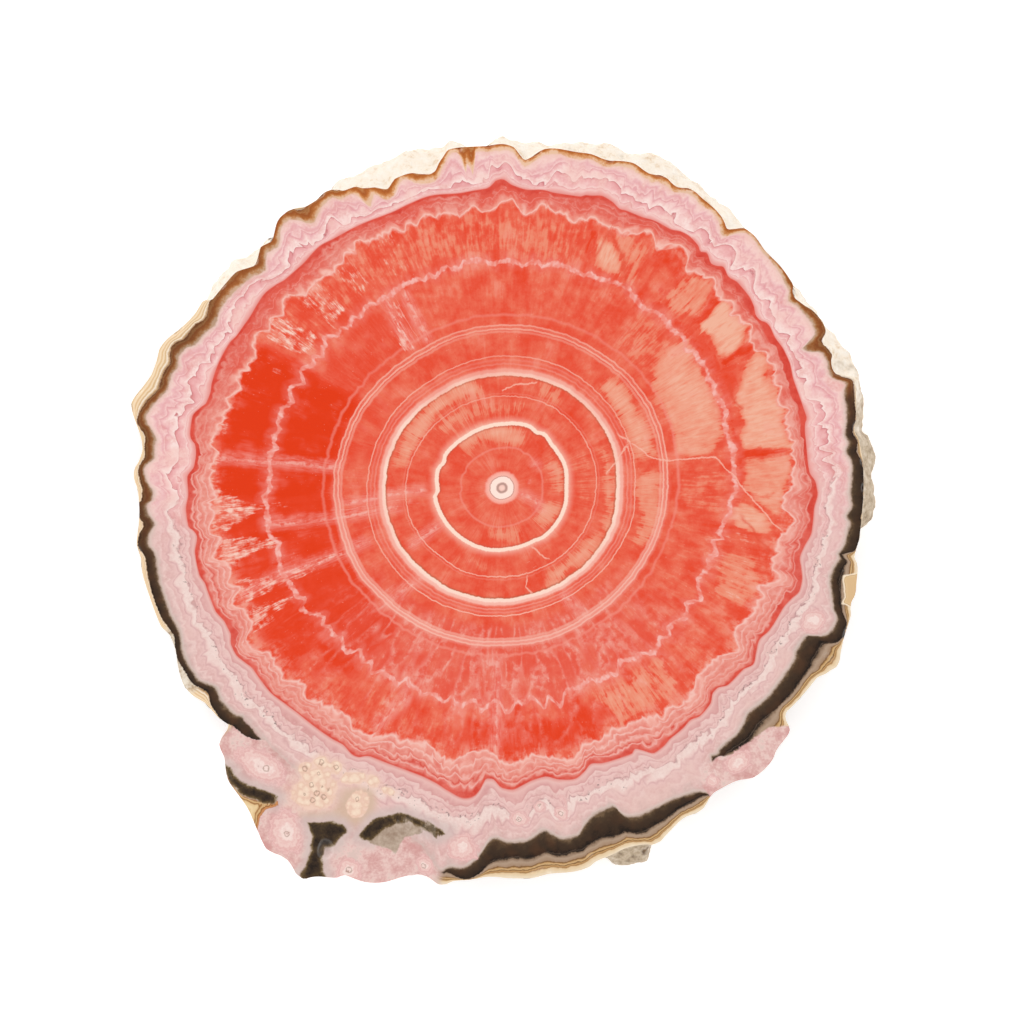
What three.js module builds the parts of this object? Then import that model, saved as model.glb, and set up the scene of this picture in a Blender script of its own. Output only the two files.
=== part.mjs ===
// A polished slice sawn across a rhodochrosite stalactite, lying on its sawn back.
// The stone grew in rings round one thin canal, so the frame's Z axis runs along that canal.
// The polished face looks up, the back is flat on the table, and between them the broken rind runs round.
// Millimetres, +Z up, angles counterclockwise from +X as seen from above the polished face.

import * as THREE from "three";

// Driving dimensions.
const THICKNESS = 7.0;
const STEPS_AROUND = 360;
const WALL_LEVELS = 8;
const EDGE_BREAK = 0.35;
const EDGE_BREAK_START = 0.85;
const RIND_HOLLOW = 0.28;
const LUMP_HEIGHT = 0.22;
const CRUST_LUMP_HEIGHT = 0.2;
const CRUST_RISE_END = 0.42;
const FULL_COVER = 1.0;

// The edge of the polished face: [angle in degrees, distance from the canal in millimetres].
const FACE_EDGE = [
  [0, 45.2], [4, 45.2], [7.5, 45.0], [9.5, 44.6], [11, 45.1], [13, 45.4], [15, 45.8], [17, 46.1],
  [18, 45.2], [19.3, 43.9], [20.5, 43.9], [22, 44.5], [23.4, 44.6], [24.4, 43.6], [25.4, 44.9],
  [27, 45.1], [29.5, 44.8], [31, 44.2], [33.5, 43.6], [35, 44.4], [38, 44.5], [42, 44.3], [45, 44.6],
  [47, 44.4], [49, 42.9], [50.5, 43.5], [53, 43.9], [55, 44.0], [57.5, 44.2], [60, 43.5], [62.5, 43.9],
  [65, 43.4], [68, 43.8], [70, 43.5], [72.5, 43.0], [75, 43.2], [78, 43.0], [80, 43.0], [82.5, 42.8],
  [84, 42.1], [86, 41.1], [88, 42.6], [90, 43.0], [93, 42.8], [97.5, 42.9], [99, 42.8], [100, 42.1],
  [101.2, 41.2], [102.5, 40.2], [104.5, 40.5], [106.5, 41.0], [109, 40.9], [111, 40.0], [113, 40.8],
  [114.7, 41.2], [116, 41.9], [118, 42.1], [119.5, 42.9], [121, 43.1], [123, 42.8], [125, 42.9],
  [126.5, 43.5], [128.5, 43.8], [130, 43.6], [131.5, 42.9], [133, 42.2], [135, 42.6], [136.5, 42.0],
  [138, 41.6], [139.5, 42.2], [141, 42.8], [144, 43.0], [147, 43.2], [148, 44.1], [150, 44.1],
  [152, 44.4], [154, 45.0], [156, 45.8], [158, 46.2], [159.7, 46.0], [161.5, 46.0], [163.5, 46.4],
  [165, 46.9], [167, 47.5], [169, 46.9], [170.5, 46.2], [172, 45.6], [174, 45.2], [176, 45.6],
  [177.5, 46.1], [179, 45.9], [180.5, 45.5], [183, 45.4], [185.5, 45.6], [187, 45.9], [189, 46.2],
  [191, 46.0], [193.5, 46.2], [197, 46.1], [202, 46.0], [204, 45.4], [206, 45.5], [208, 46.0],
  [210, 46.5], [212, 46.8], [214, 46.5], [216, 45.8], [219, 45.6], [221.2, 45.2], [221.9, 47.5],
  [223.5, 48.2], [224.3, 48.4], [225.2, 49.1], [227, 50.1], [229.5, 50.6], [231.5, 51.1], [233, 51.8],
  [235, 52.9], [237.2, 53.9], [239.5, 53.6], [241, 54.1], [242.7, 54.9], [244, 54.1], [245.5, 53.4],
  [246.7, 53.1], [248, 52.2], [250, 52.2], [252, 51.9], [254, 51.1], [256, 50.0], [258, 49.4],
  [259.5, 49.5], [260.6, 50.2], [261.7, 50.1], [263, 49.5], [265.5, 49.1], [268.5, 48.6], [271, 48.8],
  [274.5, 48.9], [277, 48.6], [281, 48.8], [283, 48.6], [284.3, 48.1], [286.5, 47.9], [289, 47.6],
  [291.5, 47.9], [293.5, 48.5], [295, 48.1], [297, 47.5], [299, 47.1], [301.5, 47.4], [303, 47.0],
  [304.7, 46.4], [307, 46.6], [308.7, 46.9], [310, 47.5], [311.3, 48.0], [313, 48.1], [315, 47.9],
  [316.5, 47.4], [319.5, 47.2], [320.5, 46.6], [321.3, 45.2], [323, 45.4], [327, 45.8], [329, 46.0],
  [330, 46.6], [331, 47.0], [332.3, 47.5], [334, 47.1], [337, 46.6], [340.3, 46.4], [341.5, 45.9],
  [343, 46.1], [345.5, 45.8], [347.8, 45.5], [348.6, 44.9], [349.6, 44.9], [352, 45.1], [356, 45.1],
];

// The host rock that still clings to the rind, below the polished face: [angle, distance from the canal].
// Between the four stretches it is broken away, and NO_CRUST keeps it inside the face's edge.
const NO_CRUST = 38;
const HOST_ROCK = [
  [0, 46.5], [2, 46.1], [4, 46.5], [5.5, 46.7], [7.5, 46.5], [9.2, 45.6], [11, 46.2], [13, 46.5],
  [17, 46.7], [20, 46.4], [22, 46.0], [24.5, 45.8], [27, 45.4], [30, 45.1], [33.5, 44.8], [35, 44.6],
  [37, 44.5], [40, NO_CRUST], [45, NO_CRUST], [46, 44.6], [49, 44.8], [50.5, 45.1], [57.5, 45.2],
  [60, 45.6], [62.5, 46.0], [65, 45.8], [68, 45.0], [72.5, 44.9], [75, 44.6], [78, 44.2], [80, 43.9],
  [82.5, 43.2], [86, 43.1], [88, 43.4], [90, 44.0], [91, 43.8], [93, 43.0], [95, 43.0], [97.5, 44.0],
  [99, 43.8], [100, 43.1], [102.5, 43.1], [104.5, 43.6], [106.5, 43.5], [109, 43.1], [111, 43.2],
  [114.7, 43.5], [118, 43.6], [120, 43.2], [122, NO_CRUST], [131, NO_CRUST], [133, 42.8], [136.5, 43.0],
  [138, 43.4], [139.5, 44.0], [141, 44.1], [144, 44.0], [147, 43.9], [149, NO_CRUST], [285, NO_CRUST],
  [285.8, 48.2], [286.5, 49.0], [288, 49.8], [289.5, 50.0], [291, 49.9], [292, 49.1], [293, 48.3],
  [294, NO_CRUST], [352, NO_CRUST], [353.5, 45.4], [354.5, 45.9], [356, 46.3], [358, 46.6],
];

// A closed smooth curve through [angle, value] points that never swings past them: a monotone cubic.
function aroundTheStone(points) {
  const count = points.length;
  const angle = (i) => points[((i % count) + count) % count][0] + 360 * Math.floor(i / count);
  const value = (i) => points[((i % count) + count) % count][1];
  const slope = (i) => (value(i + 1) - value(i)) / (angle(i + 1) - angle(i));
  const tangent = (i) => {
    const before = slope(i - 1);
    const after = slope(i);
    return before * after <= 0 ? 0 : (2 * before * after) / (before + after);
  };
  return (degrees) => {
    let i = points.findIndex(([a]) => a > degrees) - 1;
    if (i < -1) i = count - 1;
    const width = angle(i + 1) - angle(i);
    const t = (degrees - angle(i)) / width;
    const start = (1 + 2 * t) * (1 - t) ** 2 * value(i) + t * (1 - t) ** 2 * width * tangent(i);
    const end = t * t * (3 - 2 * t) * value(i + 1) + t * t * (t - 1) * width * tangent(i + 1);
    return start + end;
  };
}

// Lumps of the broken rind, from -1 to 1: waves of unlike lengths that drift as they go down the wall.
function lump(degrees, down) {
  const a = THREE.MathUtils.degToRad(degrees);
  const long = Math.sin(17 * a + 2.1 * down + 0.4);
  const middle = Math.sin(41 * a - 5.3 * down + 1.9);
  const short = Math.sin(89 * a + 9.7 * down + 2.7);
  return 0.45 * long + 0.35 * middle + 0.2 * short;
}

const faceEdge = aroundTheStone(FACE_EDGE);
const hostRock = aroundTheStone(HOST_ROCK);

// The wall's distance from the canal at a share of the way down, 0 at the polished face and 1 at the back.
// Bare rind is broken a little hollow, and host rock swells out under the face to its own outline.
function wall(degrees, down) {
  const edge = faceEdge(degrees);
  const reach = Math.max(0, hostRock(degrees) - edge);
  const covered = Math.min(1, reach / FULL_COVER);
  const rise = THREE.MathUtils.smoothstep(down, 0, CRUST_RISE_END);
  const belly = Math.sin(Math.PI * down);
  const hollow = RIND_HOLLOW * (1 - covered);
  const lumpHeight = LUMP_HEIGHT + CRUST_LUMP_HEIGHT * covered;
  const sawnEdge = EDGE_BREAK * THREE.MathUtils.smoothstep(down, EDGE_BREAK_START, 1);
  return edge + reach * rise - belly * (hollow - lumpHeight * lump(degrees, down)) - sawnEdge;
}

// Rings of points from the polished face's edge down to the back's, then the middle of each flat side.
function sliceGeometry() {
  const positions = [];
  for (let level = 0; level <= WALL_LEVELS; level++) {
    const down = level / WALL_LEVELS;
    for (let step = 0; step < STEPS_AROUND; step++) {
      const degrees = (360 * step) / STEPS_AROUND;
      const a = THREE.MathUtils.degToRad(degrees);
      const r = wall(degrees, down);
      positions.push(r * Math.cos(a), r * Math.sin(a), THICKNESS * (1 - down));
    }
  }
  const faceMiddle = positions.length / 3;
  positions.push(0, 0, THICKNESS);
  const backMiddle = faceMiddle + 1;
  positions.push(0, 0, 0);

  const triangles = [];
  const lastRing = WALL_LEVELS * STEPS_AROUND;
  for (let step = 0; step < STEPS_AROUND; step++) {
    const next = (step + 1) % STEPS_AROUND;
    triangles.push(faceMiddle, step, next);
    triangles.push(backMiddle, lastRing + next, lastRing + step);
    for (let level = 0; level < WALL_LEVELS; level++) {
      const upper = level * STEPS_AROUND;
      const lower = upper + STEPS_AROUND;
      triangles.push(upper + step, lower + step, lower + next);
      triangles.push(upper + step, lower + next, upper + next);
    }
  }
  const geometry = new THREE.BufferGeometry();
  geometry.setAttribute("position", new THREE.Float32BufferAttribute(positions, 3));
  geometry.setIndex(triangles);
  geometry.computeVertexNormals();
  return geometry;
}

const polishedStone = new THREE.MeshStandardMaterial({ color: 0xe0644c, roughness: 0.2, metalness: 0 });

const stone = new THREE.Group();
const slice = new THREE.Mesh(sliceGeometry(), polishedStone);
slice.name = "slice";
stone.add(slice);

export default stone;
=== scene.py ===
# %% [markdown]
# # A polished rhodochrosite slice
# Rhodochrosite grows in caves as stalactites, ring after ring round one thin canal, like a tree.
# This slice is sawn across one, polished on top, and lies on its sawn back.
# All of its looks are growth: if the mesh and the material both know *how far out the stone had grown*
# at a point, then every band is one line in a table, and all the bands wave together as real ones do.

import bpy
import numpy as np
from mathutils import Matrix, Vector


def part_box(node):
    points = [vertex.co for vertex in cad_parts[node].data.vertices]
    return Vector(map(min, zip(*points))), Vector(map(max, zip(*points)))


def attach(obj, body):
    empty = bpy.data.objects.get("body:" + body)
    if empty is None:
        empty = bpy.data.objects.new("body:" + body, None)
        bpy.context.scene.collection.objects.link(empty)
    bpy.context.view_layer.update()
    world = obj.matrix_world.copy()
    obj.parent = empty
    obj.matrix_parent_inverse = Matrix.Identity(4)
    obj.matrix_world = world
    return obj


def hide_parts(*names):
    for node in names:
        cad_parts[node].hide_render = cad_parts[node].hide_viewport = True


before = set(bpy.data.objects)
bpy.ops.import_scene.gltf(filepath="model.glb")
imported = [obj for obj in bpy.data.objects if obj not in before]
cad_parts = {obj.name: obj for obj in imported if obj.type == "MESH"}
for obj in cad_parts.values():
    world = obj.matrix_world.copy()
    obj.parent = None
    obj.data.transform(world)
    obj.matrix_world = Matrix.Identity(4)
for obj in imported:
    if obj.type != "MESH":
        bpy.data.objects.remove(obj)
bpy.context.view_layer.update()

MM = 0.001
lowest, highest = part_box("slice")
THICKNESS = (highest.z - lowest.z) / MM
print(f"the slice is {(highest.x - lowest.x) / MM:.1f} x {(highest.y - lowest.y) / MM:.1f} mm"
      f" and {THICKNESS:.1f} mm thick")

# %% [markdown]
# ## The camera
# The photograph looks square at the polished face through a long lens. The slice lies down here, so the
# camera looks straight down on it, with the top of the photograph towards +Y.

# %% Camera
VIEW_WIDTH = 128 * MM
VIEW_MIDDLE = (1.25 * MM, -3.0 * MM)
CAMERA_HEIGHT = 1.0
camera = bpy.data.objects.new("camera", bpy.data.cameras.new("camera"))
bpy.context.scene.collection.objects.link(camera)
camera.location = (*VIEW_MIDDLE, THICKNESS * MM + CAMERA_HEIGHT)
camera.data.lens = camera.data.sensor_width * CAMERA_HEIGHT / VIEW_WIDTH
bpy.context.scene.camera = camera
bpy.context.scene.view_settings.view_transform = "Standard"
print(f"a {camera.data.lens:.0f} mm lens, {CAMERA_HEIGHT} m above the face")

# %% [markdown]
# ## Curves round the stone
# A growth ring is nearly a circle, so it is written as its distance from the canal at some angles,
# counterclockwise from +X, in millimetres. A monotone cubic joins them: it is smooth but never swings
# past a point, so a sharp corner in the rind stays where it was read.

# %% A closed curve through a few points
STEPS_AROUND = 880
DEGREES = np.arange(STEPS_AROUND) * 360 / STEPS_AROUND


def around(points, degrees=DEGREES):
    """Distance at each angle. Between two points the curve is a cubic whose tangent at a point is the
    harmonic mean of the slopes on its two sides, or level where they differ in sign."""
    angle = np.array(list(points), float)
    value = np.array(list(points.values()), float)
    angle = np.concatenate([angle - 360, angle, angle + 360])
    value = np.tile(value, 3)
    slope = np.diff(value) / np.diff(angle)
    before, after = slope[:-1], slope[1:]
    same = before * after > 0
    tangent = np.zeros(len(value))
    tangent[1:-1] = np.where(same, 2 * before * after / np.where(same, before + after, 1), 0)
    i = np.searchsorted(angle, degrees, side="right") - 1
    width = angle[i + 1] - angle[i]
    t = (degrees - angle[i]) / width
    start = (1 + 2 * t) * (1 - t) ** 2 * value[i] + t * (1 - t) ** 2 * width * tangent[i]
    end = t * t * (3 - 2 * t) * value[i + 1] + t * t * (t - 1) * width * tangent[i + 1]
    return start + end


# %% [markdown]
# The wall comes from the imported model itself: at each of its levels the vertices are sorted by angle.
# Reading it here keeps the dressed stone exactly where the CAD solid is.

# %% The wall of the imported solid, level by level
MIDDLE_POINT = 1.0


def wall_of_solid():
    """Heights in mm, highest first, and for each the wall's distance from the canal at every angle.
    The two flat sides also have a point in their middle, nearer than MIDDLE_POINT, which is left out."""
    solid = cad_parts["slice"].data
    co = np.zeros(len(solid.vertices) * 3)
    solid.vertices.foreach_get("co", co)
    co = co.reshape(-1, 3) / MM
    out = np.hypot(co[:, 0], co[:, 1])
    on_wall = out > MIDDLE_POINT
    co, out = co[on_wall], out[on_wall]
    turn = np.degrees(np.arctan2(co[:, 1], co[:, 0])) % 360
    height = np.round(co[:, 2], 2)
    heights = np.unique(height)[::-1]
    rows = []
    for h in heights:
        _, first = np.unique(np.round(turn[height == h]), return_index=True)
        rows.append(around(dict(zip(turn[height == h][first], out[height == h][first]))))
    return heights, np.array(rows)


HEIGHTS, WALL = wall_of_solid()
FACE_EDGE = WALL[0]
print(f"{len(HEIGHTS)} levels; the face's edge is {FACE_EDGE.min():.1f} to {FACE_EDGE.max():.1f} mm out")

# %% [markdown]
# ## The growth rings
# Eleven rings carry the whole pattern. Each has a *nominal* distance, about its mean: that number is
# the growth coordinate of every point on the ring. Between two rings it runs evenly from one nominal
# distance to the next, so one millimetre of growth is about one millimetre of stone.

# %% The rings, read off the face
CREAM_RING = around({
    0: 8.1, 20: 8.4, 40: 8.3, 52: 8.6, 58: 8.25, 65: 8.5, 80: 8.25, 90: 8.05, 120: 7.9, 140: 8.1,
    150: 8.25, 155: 8.0, 165: 8.4, 182: 8.1, 188: 8.5, 200: 8.4, 215: 8.25, 240: 8.05, 260: 7.9,
    280: 7.7, 300: 7.75, 310: 8.05, 330: 8.2, 345: 8.25})
FINE_RING = around({
    0: 11.75, 20: 12.0, 60: 11.9, 90: 11.5, 120: 11.4, 145: 11.6, 170: 11.9, 190: 12.1, 210: 11.9,
    230: 11.5, 250: 11.4, 270: 11.1, 290: 11.1, 310: 11.25, 330: 11.5})
BOLD_RING = around({
    0: 14.75, 20: 15.1, 45: 15.05, 60: 14.9, 90: 14.45, 125: 14.3, 140: 14.6, 160: 14.9, 190: 15.0,
    210: 14.9, 230: 14.6, 250: 14.45, 270: 14.25, 290: 14.2, 310: 14.4, 330: 14.7, 345: 14.8})
PALE_RING = around({
    0: 16.6, 20: 16.95, 45: 16.9, 70: 16.75, 90: 16.5, 110: 16.25, 120: 16.1, 140: 16.4, 170: 16.75,
    200: 17.0, 230: 16.6, 250: 16.25, 270: 16.0, 290: 15.8, 310: 16.0, 330: 16.4, 350: 16.75})
DOUBLE_RING = around({
    0: 20.4, 10: 20.6, 20: 20.9, 30: 21.0, 40: 20.9, 55: 20.6, 70: 20.4, 90: 20.1, 110: 19.9,
    120: 19.75, 140: 20.1, 150: 20.4, 165: 20.5, 175: 20.75, 190: 20.6, 210: 20.6, 220: 20.25,
    235: 20.0, 250: 19.75, 260: 19.6, 270: 19.4, 290: 19.5, 300: 19.4, 320: 19.6, 330: 19.8,
    340: 20.05, 350: 20.25})
THIRD_RING = around({
    0: 29.38, 3: 29, 5: 29, 8: 29.12, 10: 29.25, 13: 28.88, 17: 29, 18: 29.38, 20: 29.5, 22: 29.25,
    24: 29.12, 26: 29.38, 28: 29.25, 30: 29.5, 32: 29.62, 33: 29.25, 35: 29.5, 36: 29.12, 37.5: 28.75,
    38.5: 29.38, 40: 29.5, 42: 29.12, 43.5: 28.88, 45: 29.25, 47: 29.38, 49: 29.25, 50: 28.88, 52: 28.5,
    54: 28.88, 56: 29.12, 58: 29.62, 60: 29.5, 62: 29.25, 64: 29, 66: 28.75, 68: 28.88, 69: 28.38,
    70: 28.62, 72: 28.62, 74: 28.88, 76: 28.88, 78: 28.5, 80: 28.12, 81: 28.62, 83: 28.38, 85: 27.88,
    87: 28.38, 90: 28.38, 92: 28, 94: 28.38, 96: 28.5, 98: 28.62, 99.5: 28.62, 101: 28, 103: 28.12,
    104: 28.5, 106: 28.12, 107.5: 27.62, 109: 28.12, 110.5: 27.75, 112: 28.25, 114: 28.25, 116: 28.12,
    118: 28.12, 120: 27.75, 122: 28, 124: 27.88, 126: 28.38, 128: 28.12, 130: 27.75, 131: 28.38,
    132: 28.12, 134: 27.88, 135: 28.38, 137: 28.12, 138.5: 28.62, 139.7: 29.25, 141: 28.38, 142: 28.5,
    143.7: 27.75, 145: 28.75, 146.5: 28.12, 148: 28.62, 149.5: 29.25, 151: 28.5, 152: 28, 153: 28.5,
    154.5: 29.25, 156: 29, 157.5: 28.5, 159: 28.62, 160: 29.25, 162: 29.12, 164: 29.25, 165: 28.62,
    167: 29.12, 169: 29, 170: 28.5, 171: 29.12, 173: 29.25, 175: 29.12, 177: 29, 178.5: 29.25, 180: 29,
    182: 29.75, 184: 29.5, 186: 29.5, 188: 29.5, 190: 29.75, 192: 29.5, 194: 28.75, 196: 29.12,
    198: 29.25, 200: 29.5, 202: 29.38, 204: 29.12, 206: 29, 208: 28.88, 209.5: 28.25, 211: 29.12,
    213: 28.75, 214.5: 27.75, 216: 27.5, 217: 28.12, 219: 27.75, 221: 28, 223: 27.38, 225: 28.12,
    227: 28, 229: 26.75, 230: 27.38, 231.5: 27.75, 233: 27.12, 235: 28.25, 236.5: 27.38, 238: 27.5,
    240: 27.38, 242: 27.88, 243.5: 26.62, 245: 27.12, 247: 27.25, 249: 27.75, 251: 27.12, 253: 27.38,
    255: 27.62, 256.5: 26.88, 258: 27.62, 260: 27.62, 261.5: 26.88, 263: 26.75, 264.5: 28, 266: 27.38,
    268: 26.62, 269.5: 26.88, 271: 28, 272.5: 27.62, 274: 26.62, 276: 27, 278: 26.38, 280: 27.5,
    281: 27.88, 282.5: 26.75, 284: 27.5, 285.2: 28.25, 287: 26.75, 289: 26.5, 291: 26.75, 293: 26.38,
    295: 26.25, 296: 27, 298: 26.88, 300: 27, 301.5: 27.38, 303: 26.62, 304.5: 26.12, 306: 26.5,
    308: 27, 310: 26.88, 312: 27.75, 313: 28, 315: 27.75, 316.5: 27.12, 318: 27.88, 319: 27.75,
    320: 27.12, 322: 27.25, 323.5: 27.75, 325: 28.12, 326.5: 27.75, 328: 27.12, 329.5: 28, 330.5: 28.5,
    332: 28.12, 333.5: 27.38, 335: 27, 337: 27.5, 339: 27.62, 341: 27.25, 343: 27.88, 344.5: 27.5,
    346: 27.12, 347: 28.25, 348: 27.62, 350: 28, 352: 28.25, 354: 28.62, 356: 28.5, 358: 28.88})
SPAR_END = around({
    0: 36.38, 2: 36.25, 3.5: 36.62, 5: 36.75, 6.3: 36.38, 7.2: 36.62, 8: 36.25, 9: 37, 10: 36.38,
    11: 36.38, 12: 36.5, 13: 36.25, 14: 36.5, 15: 37.25, 16.5: 36.38, 18: 36.25, 19: 36.62, 20: 37.12,
    21: 36.38, 23: 37, 24: 37.38, 25.5: 36.75, 26.5: 37.38, 27.5: 37.12, 28.3: 36.25, 29: 36.12,
    31: 36.25, 32: 36.75, 33: 37.25, 34: 37, 35: 36.38, 36: 36.62, 37: 36.12, 38: 36.62, 39: 37.12,
    40: 36.75, 41: 36.25, 42: 36.12, 43: 36.5, 44: 37.12, 45: 37.38, 46: 36.75, 48: 36.12, 49: 35.62,
    50: 35.62, 51: 36.75, 53: 37.38, 54: 37.5, 55: 37, 56: 36.25, 57: 35.75, 58: 36.12, 60.5: 37,
    62: 36.12, 63: 35.88, 65: 35.38, 66: 35.62, 67: 35.38, 68: 35.62, 70: 35.75, 72: 35.62, 73: 35.12,
    75: 34.62, 76: 34.75, 77: 35.38, 78: 35.38, 79: 35, 80: 35.25, 81: 35.88, 82: 35.75, 83: 35.38,
    84: 34.62, 85: 34.5, 86: 34.88, 87: 35.5, 88: 36.12, 89: 36.12, 90: 36, 91: 35.5, 92: 35, 94: 34.75,
    96: 35.38, 97: 35.12, 98: 34.5, 100: 34.62, 102: 35.12, 104: 34.88, 105: 35.38, 106: 35.62,
    107: 35.12, 108: 34.62, 109: 35.12, 110: 35, 111: 34.5, 113: 35.38, 114: 35, 116: 35.38, 117: 35,
    118: 35.25, 119: 35, 120: 35.88, 121: 35.5, 122: 34.75, 123: 35.5, 124: 35.5, 125: 34.75,
    126: 34.75, 128: 34.5, 130: 34.75, 131: 34.62, 133: 35.12, 134: 34.75, 136: 34.62, 137: 35.25,
    138: 36.12, 139: 36.12, 140: 35.88, 142: 34.88, 144: 35.88, 146: 35, 147: 35.88, 148: 36.38,
    150: 36, 152: 35.12, 154: 35.62, 155: 35, 156: 35.75, 158: 35.38, 159: 35.12, 161: 35.75,
    162: 36.12, 163: 35.62, 165: 35.75, 167: 36.25, 169: 36.12, 170: 36.62, 171: 37, 173: 35.88,
    175: 36.25, 177: 36.25, 178: 36.62, 180: 36.25, 181: 35.88, 182: 35.75, 183: 36.62, 185: 36.25,
    187: 36.75, 189: 37, 190: 35.88, 191: 36.12, 192: 36.62, 194: 37, 195: 35.62, 196: 35.38,
    198: 35.88, 199: 36.25, 200: 35.5, 201: 35.12, 203: 36.62, 204: 36.38, 205: 35.38, 207: 35.38,
    209: 35.5, 210: 36.5, 211: 37.25, 212: 37.25, 214: 36.25, 216: 35.38, 218: 36.12, 219: 35.62,
    221: 36.38, 222: 36, 223: 35.38, 225: 34.88, 226: 35.62, 227: 35.88, 229: 35.12, 231: 34.88,
    232: 34.62, 233: 35, 235: 34.5, 237: 34.88, 238: 35.38, 240: 35.25, 242: 35.12, 243: 34.62, 245: 34,
    246: 33.62, 248: 34.12, 250: 33.62, 252: 33.25, 254: 33.5, 256: 33.88, 258: 34.62, 260: 34.5,
    262: 33.88, 264: 33.25, 266: 33.12, 268: 33.5, 270: 34.38, 272: 34.75, 274: 34.25, 275: 33.75,
    277: 33.5, 280: 34.25, 283: 34.75, 285: 34.88, 287: 34, 289: 33.75, 291: 34.12, 293: 33.75,
    295: 33.25, 297: 33.75, 299: 33.5, 301: 33.88, 303: 34.12, 305: 35, 307: 34.5, 309: 35.12,
    311: 35.38, 313: 35.25, 315: 34.5, 316: 34.12, 318: 34.38, 319: 34.12, 320: 34.5, 321: 34,
    323: 34.88, 325: 35.75, 326: 35.75, 328: 34.62, 329: 34.38, 331: 34.88, 333: 35.12, 334: 35.38,
    336: 35, 337: 35.62, 339: 34.62, 340: 35, 341: 36, 342: 36.25, 344: 35.12, 345: 34.88, 347: 35.25,
    348: 35, 350: 35.38, 352: 36, 353.5: 37, 355: 36.25, 356: 35.25, 358: 35.38, 359: 35.5})
PINK_START = around({
    0: 39.38, 1: 39.25, 3: 38.5, 5: 38.38, 10: 38.5, 12: 38.75, 13: 39.12, 15: 39, 20: 38.88, 24: 39.25,
    26: 39.25, 29: 39, 31: 39.12, 32: 39, 33: 38.5, 34: 38.38, 36: 38.88, 38: 39.12, 41: 39.12,
    43: 38.75, 45: 39.12, 46: 38.62, 47: 38.38, 49: 39, 50: 38.62, 51: 39, 53.5: 39.25, 55: 39.12,
    57: 38.62, 60: 38.5, 63: 38.12, 66: 38, 67: 37.88, 69: 38.38, 71: 38.62, 73: 38.25, 74: 38.12,
    75: 37.75, 80: 37.5, 82: 37.62, 85: 37.44, 88: 37.88, 90: 38.62, 91: 38.5, 92: 37.88, 93: 37.5,
    95: 37.38, 98: 37.25, 104: 37.62, 108: 37.38, 112: 37.12, 118: 37.38, 124: 37.62, 127: 37.88,
    132: 37.5, 136: 37.62, 138: 38, 141: 38.38, 146: 38.12, 150: 38.25, 152: 38.62, 156: 38.75,
    160: 38.62, 162: 38.38, 164: 38.5, 165: 39, 167: 39.75, 170: 39.62, 171: 39.38, 172: 38.75,
    174: 38.5, 176: 38.62, 178: 39.38, 181: 39.25, 184: 39.62, 187: 39.5, 188: 38.88, 189: 38.62,
    192: 39.25, 196: 39.38, 198: 39, 203: 39, 206: 38.5, 208: 38.5, 210: 39.12, 212: 39.25, 214: 38.88,
    216: 38.5, 221: 38.62, 225: 38.25, 228: 38, 236: 37.88, 238: 37.75, 241: 38.25, 242: 38.12,
    243: 37.62, 244: 37.38, 250: 37.25, 254: 37.38, 257: 37.75, 260: 38.5, 263: 39.12, 264: 39,
    265: 38.62, 265.8: 37.88, 267: 36.38, 268: 36.38, 270: 37.5, 272: 37.75, 274: 37.25, 276: 36.75,
    278.5: 36.5, 281: 37.12, 284: 37.5, 286: 37, 288: 36.25, 290: 36.62, 294: 36.88, 296: 37,
    297: 36.62, 298: 37.12, 300: 38.25, 302: 38.12, 304: 37.75, 307: 37.62, 309: 37.38, 311: 37.75,
    314: 37.5, 316: 36.75, 317: 36.75, 319: 37.5, 323: 37.75, 325: 38.38, 327: 37.88, 329.5: 37.38,
    332: 37.88, 337: 38.25, 339: 38.75, 341: 39.38, 343: 39.25, 345: 38.75, 347: 38.25, 349: 38.5,
    352: 39.12, 356: 39.12, 359: 39.5})
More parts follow.
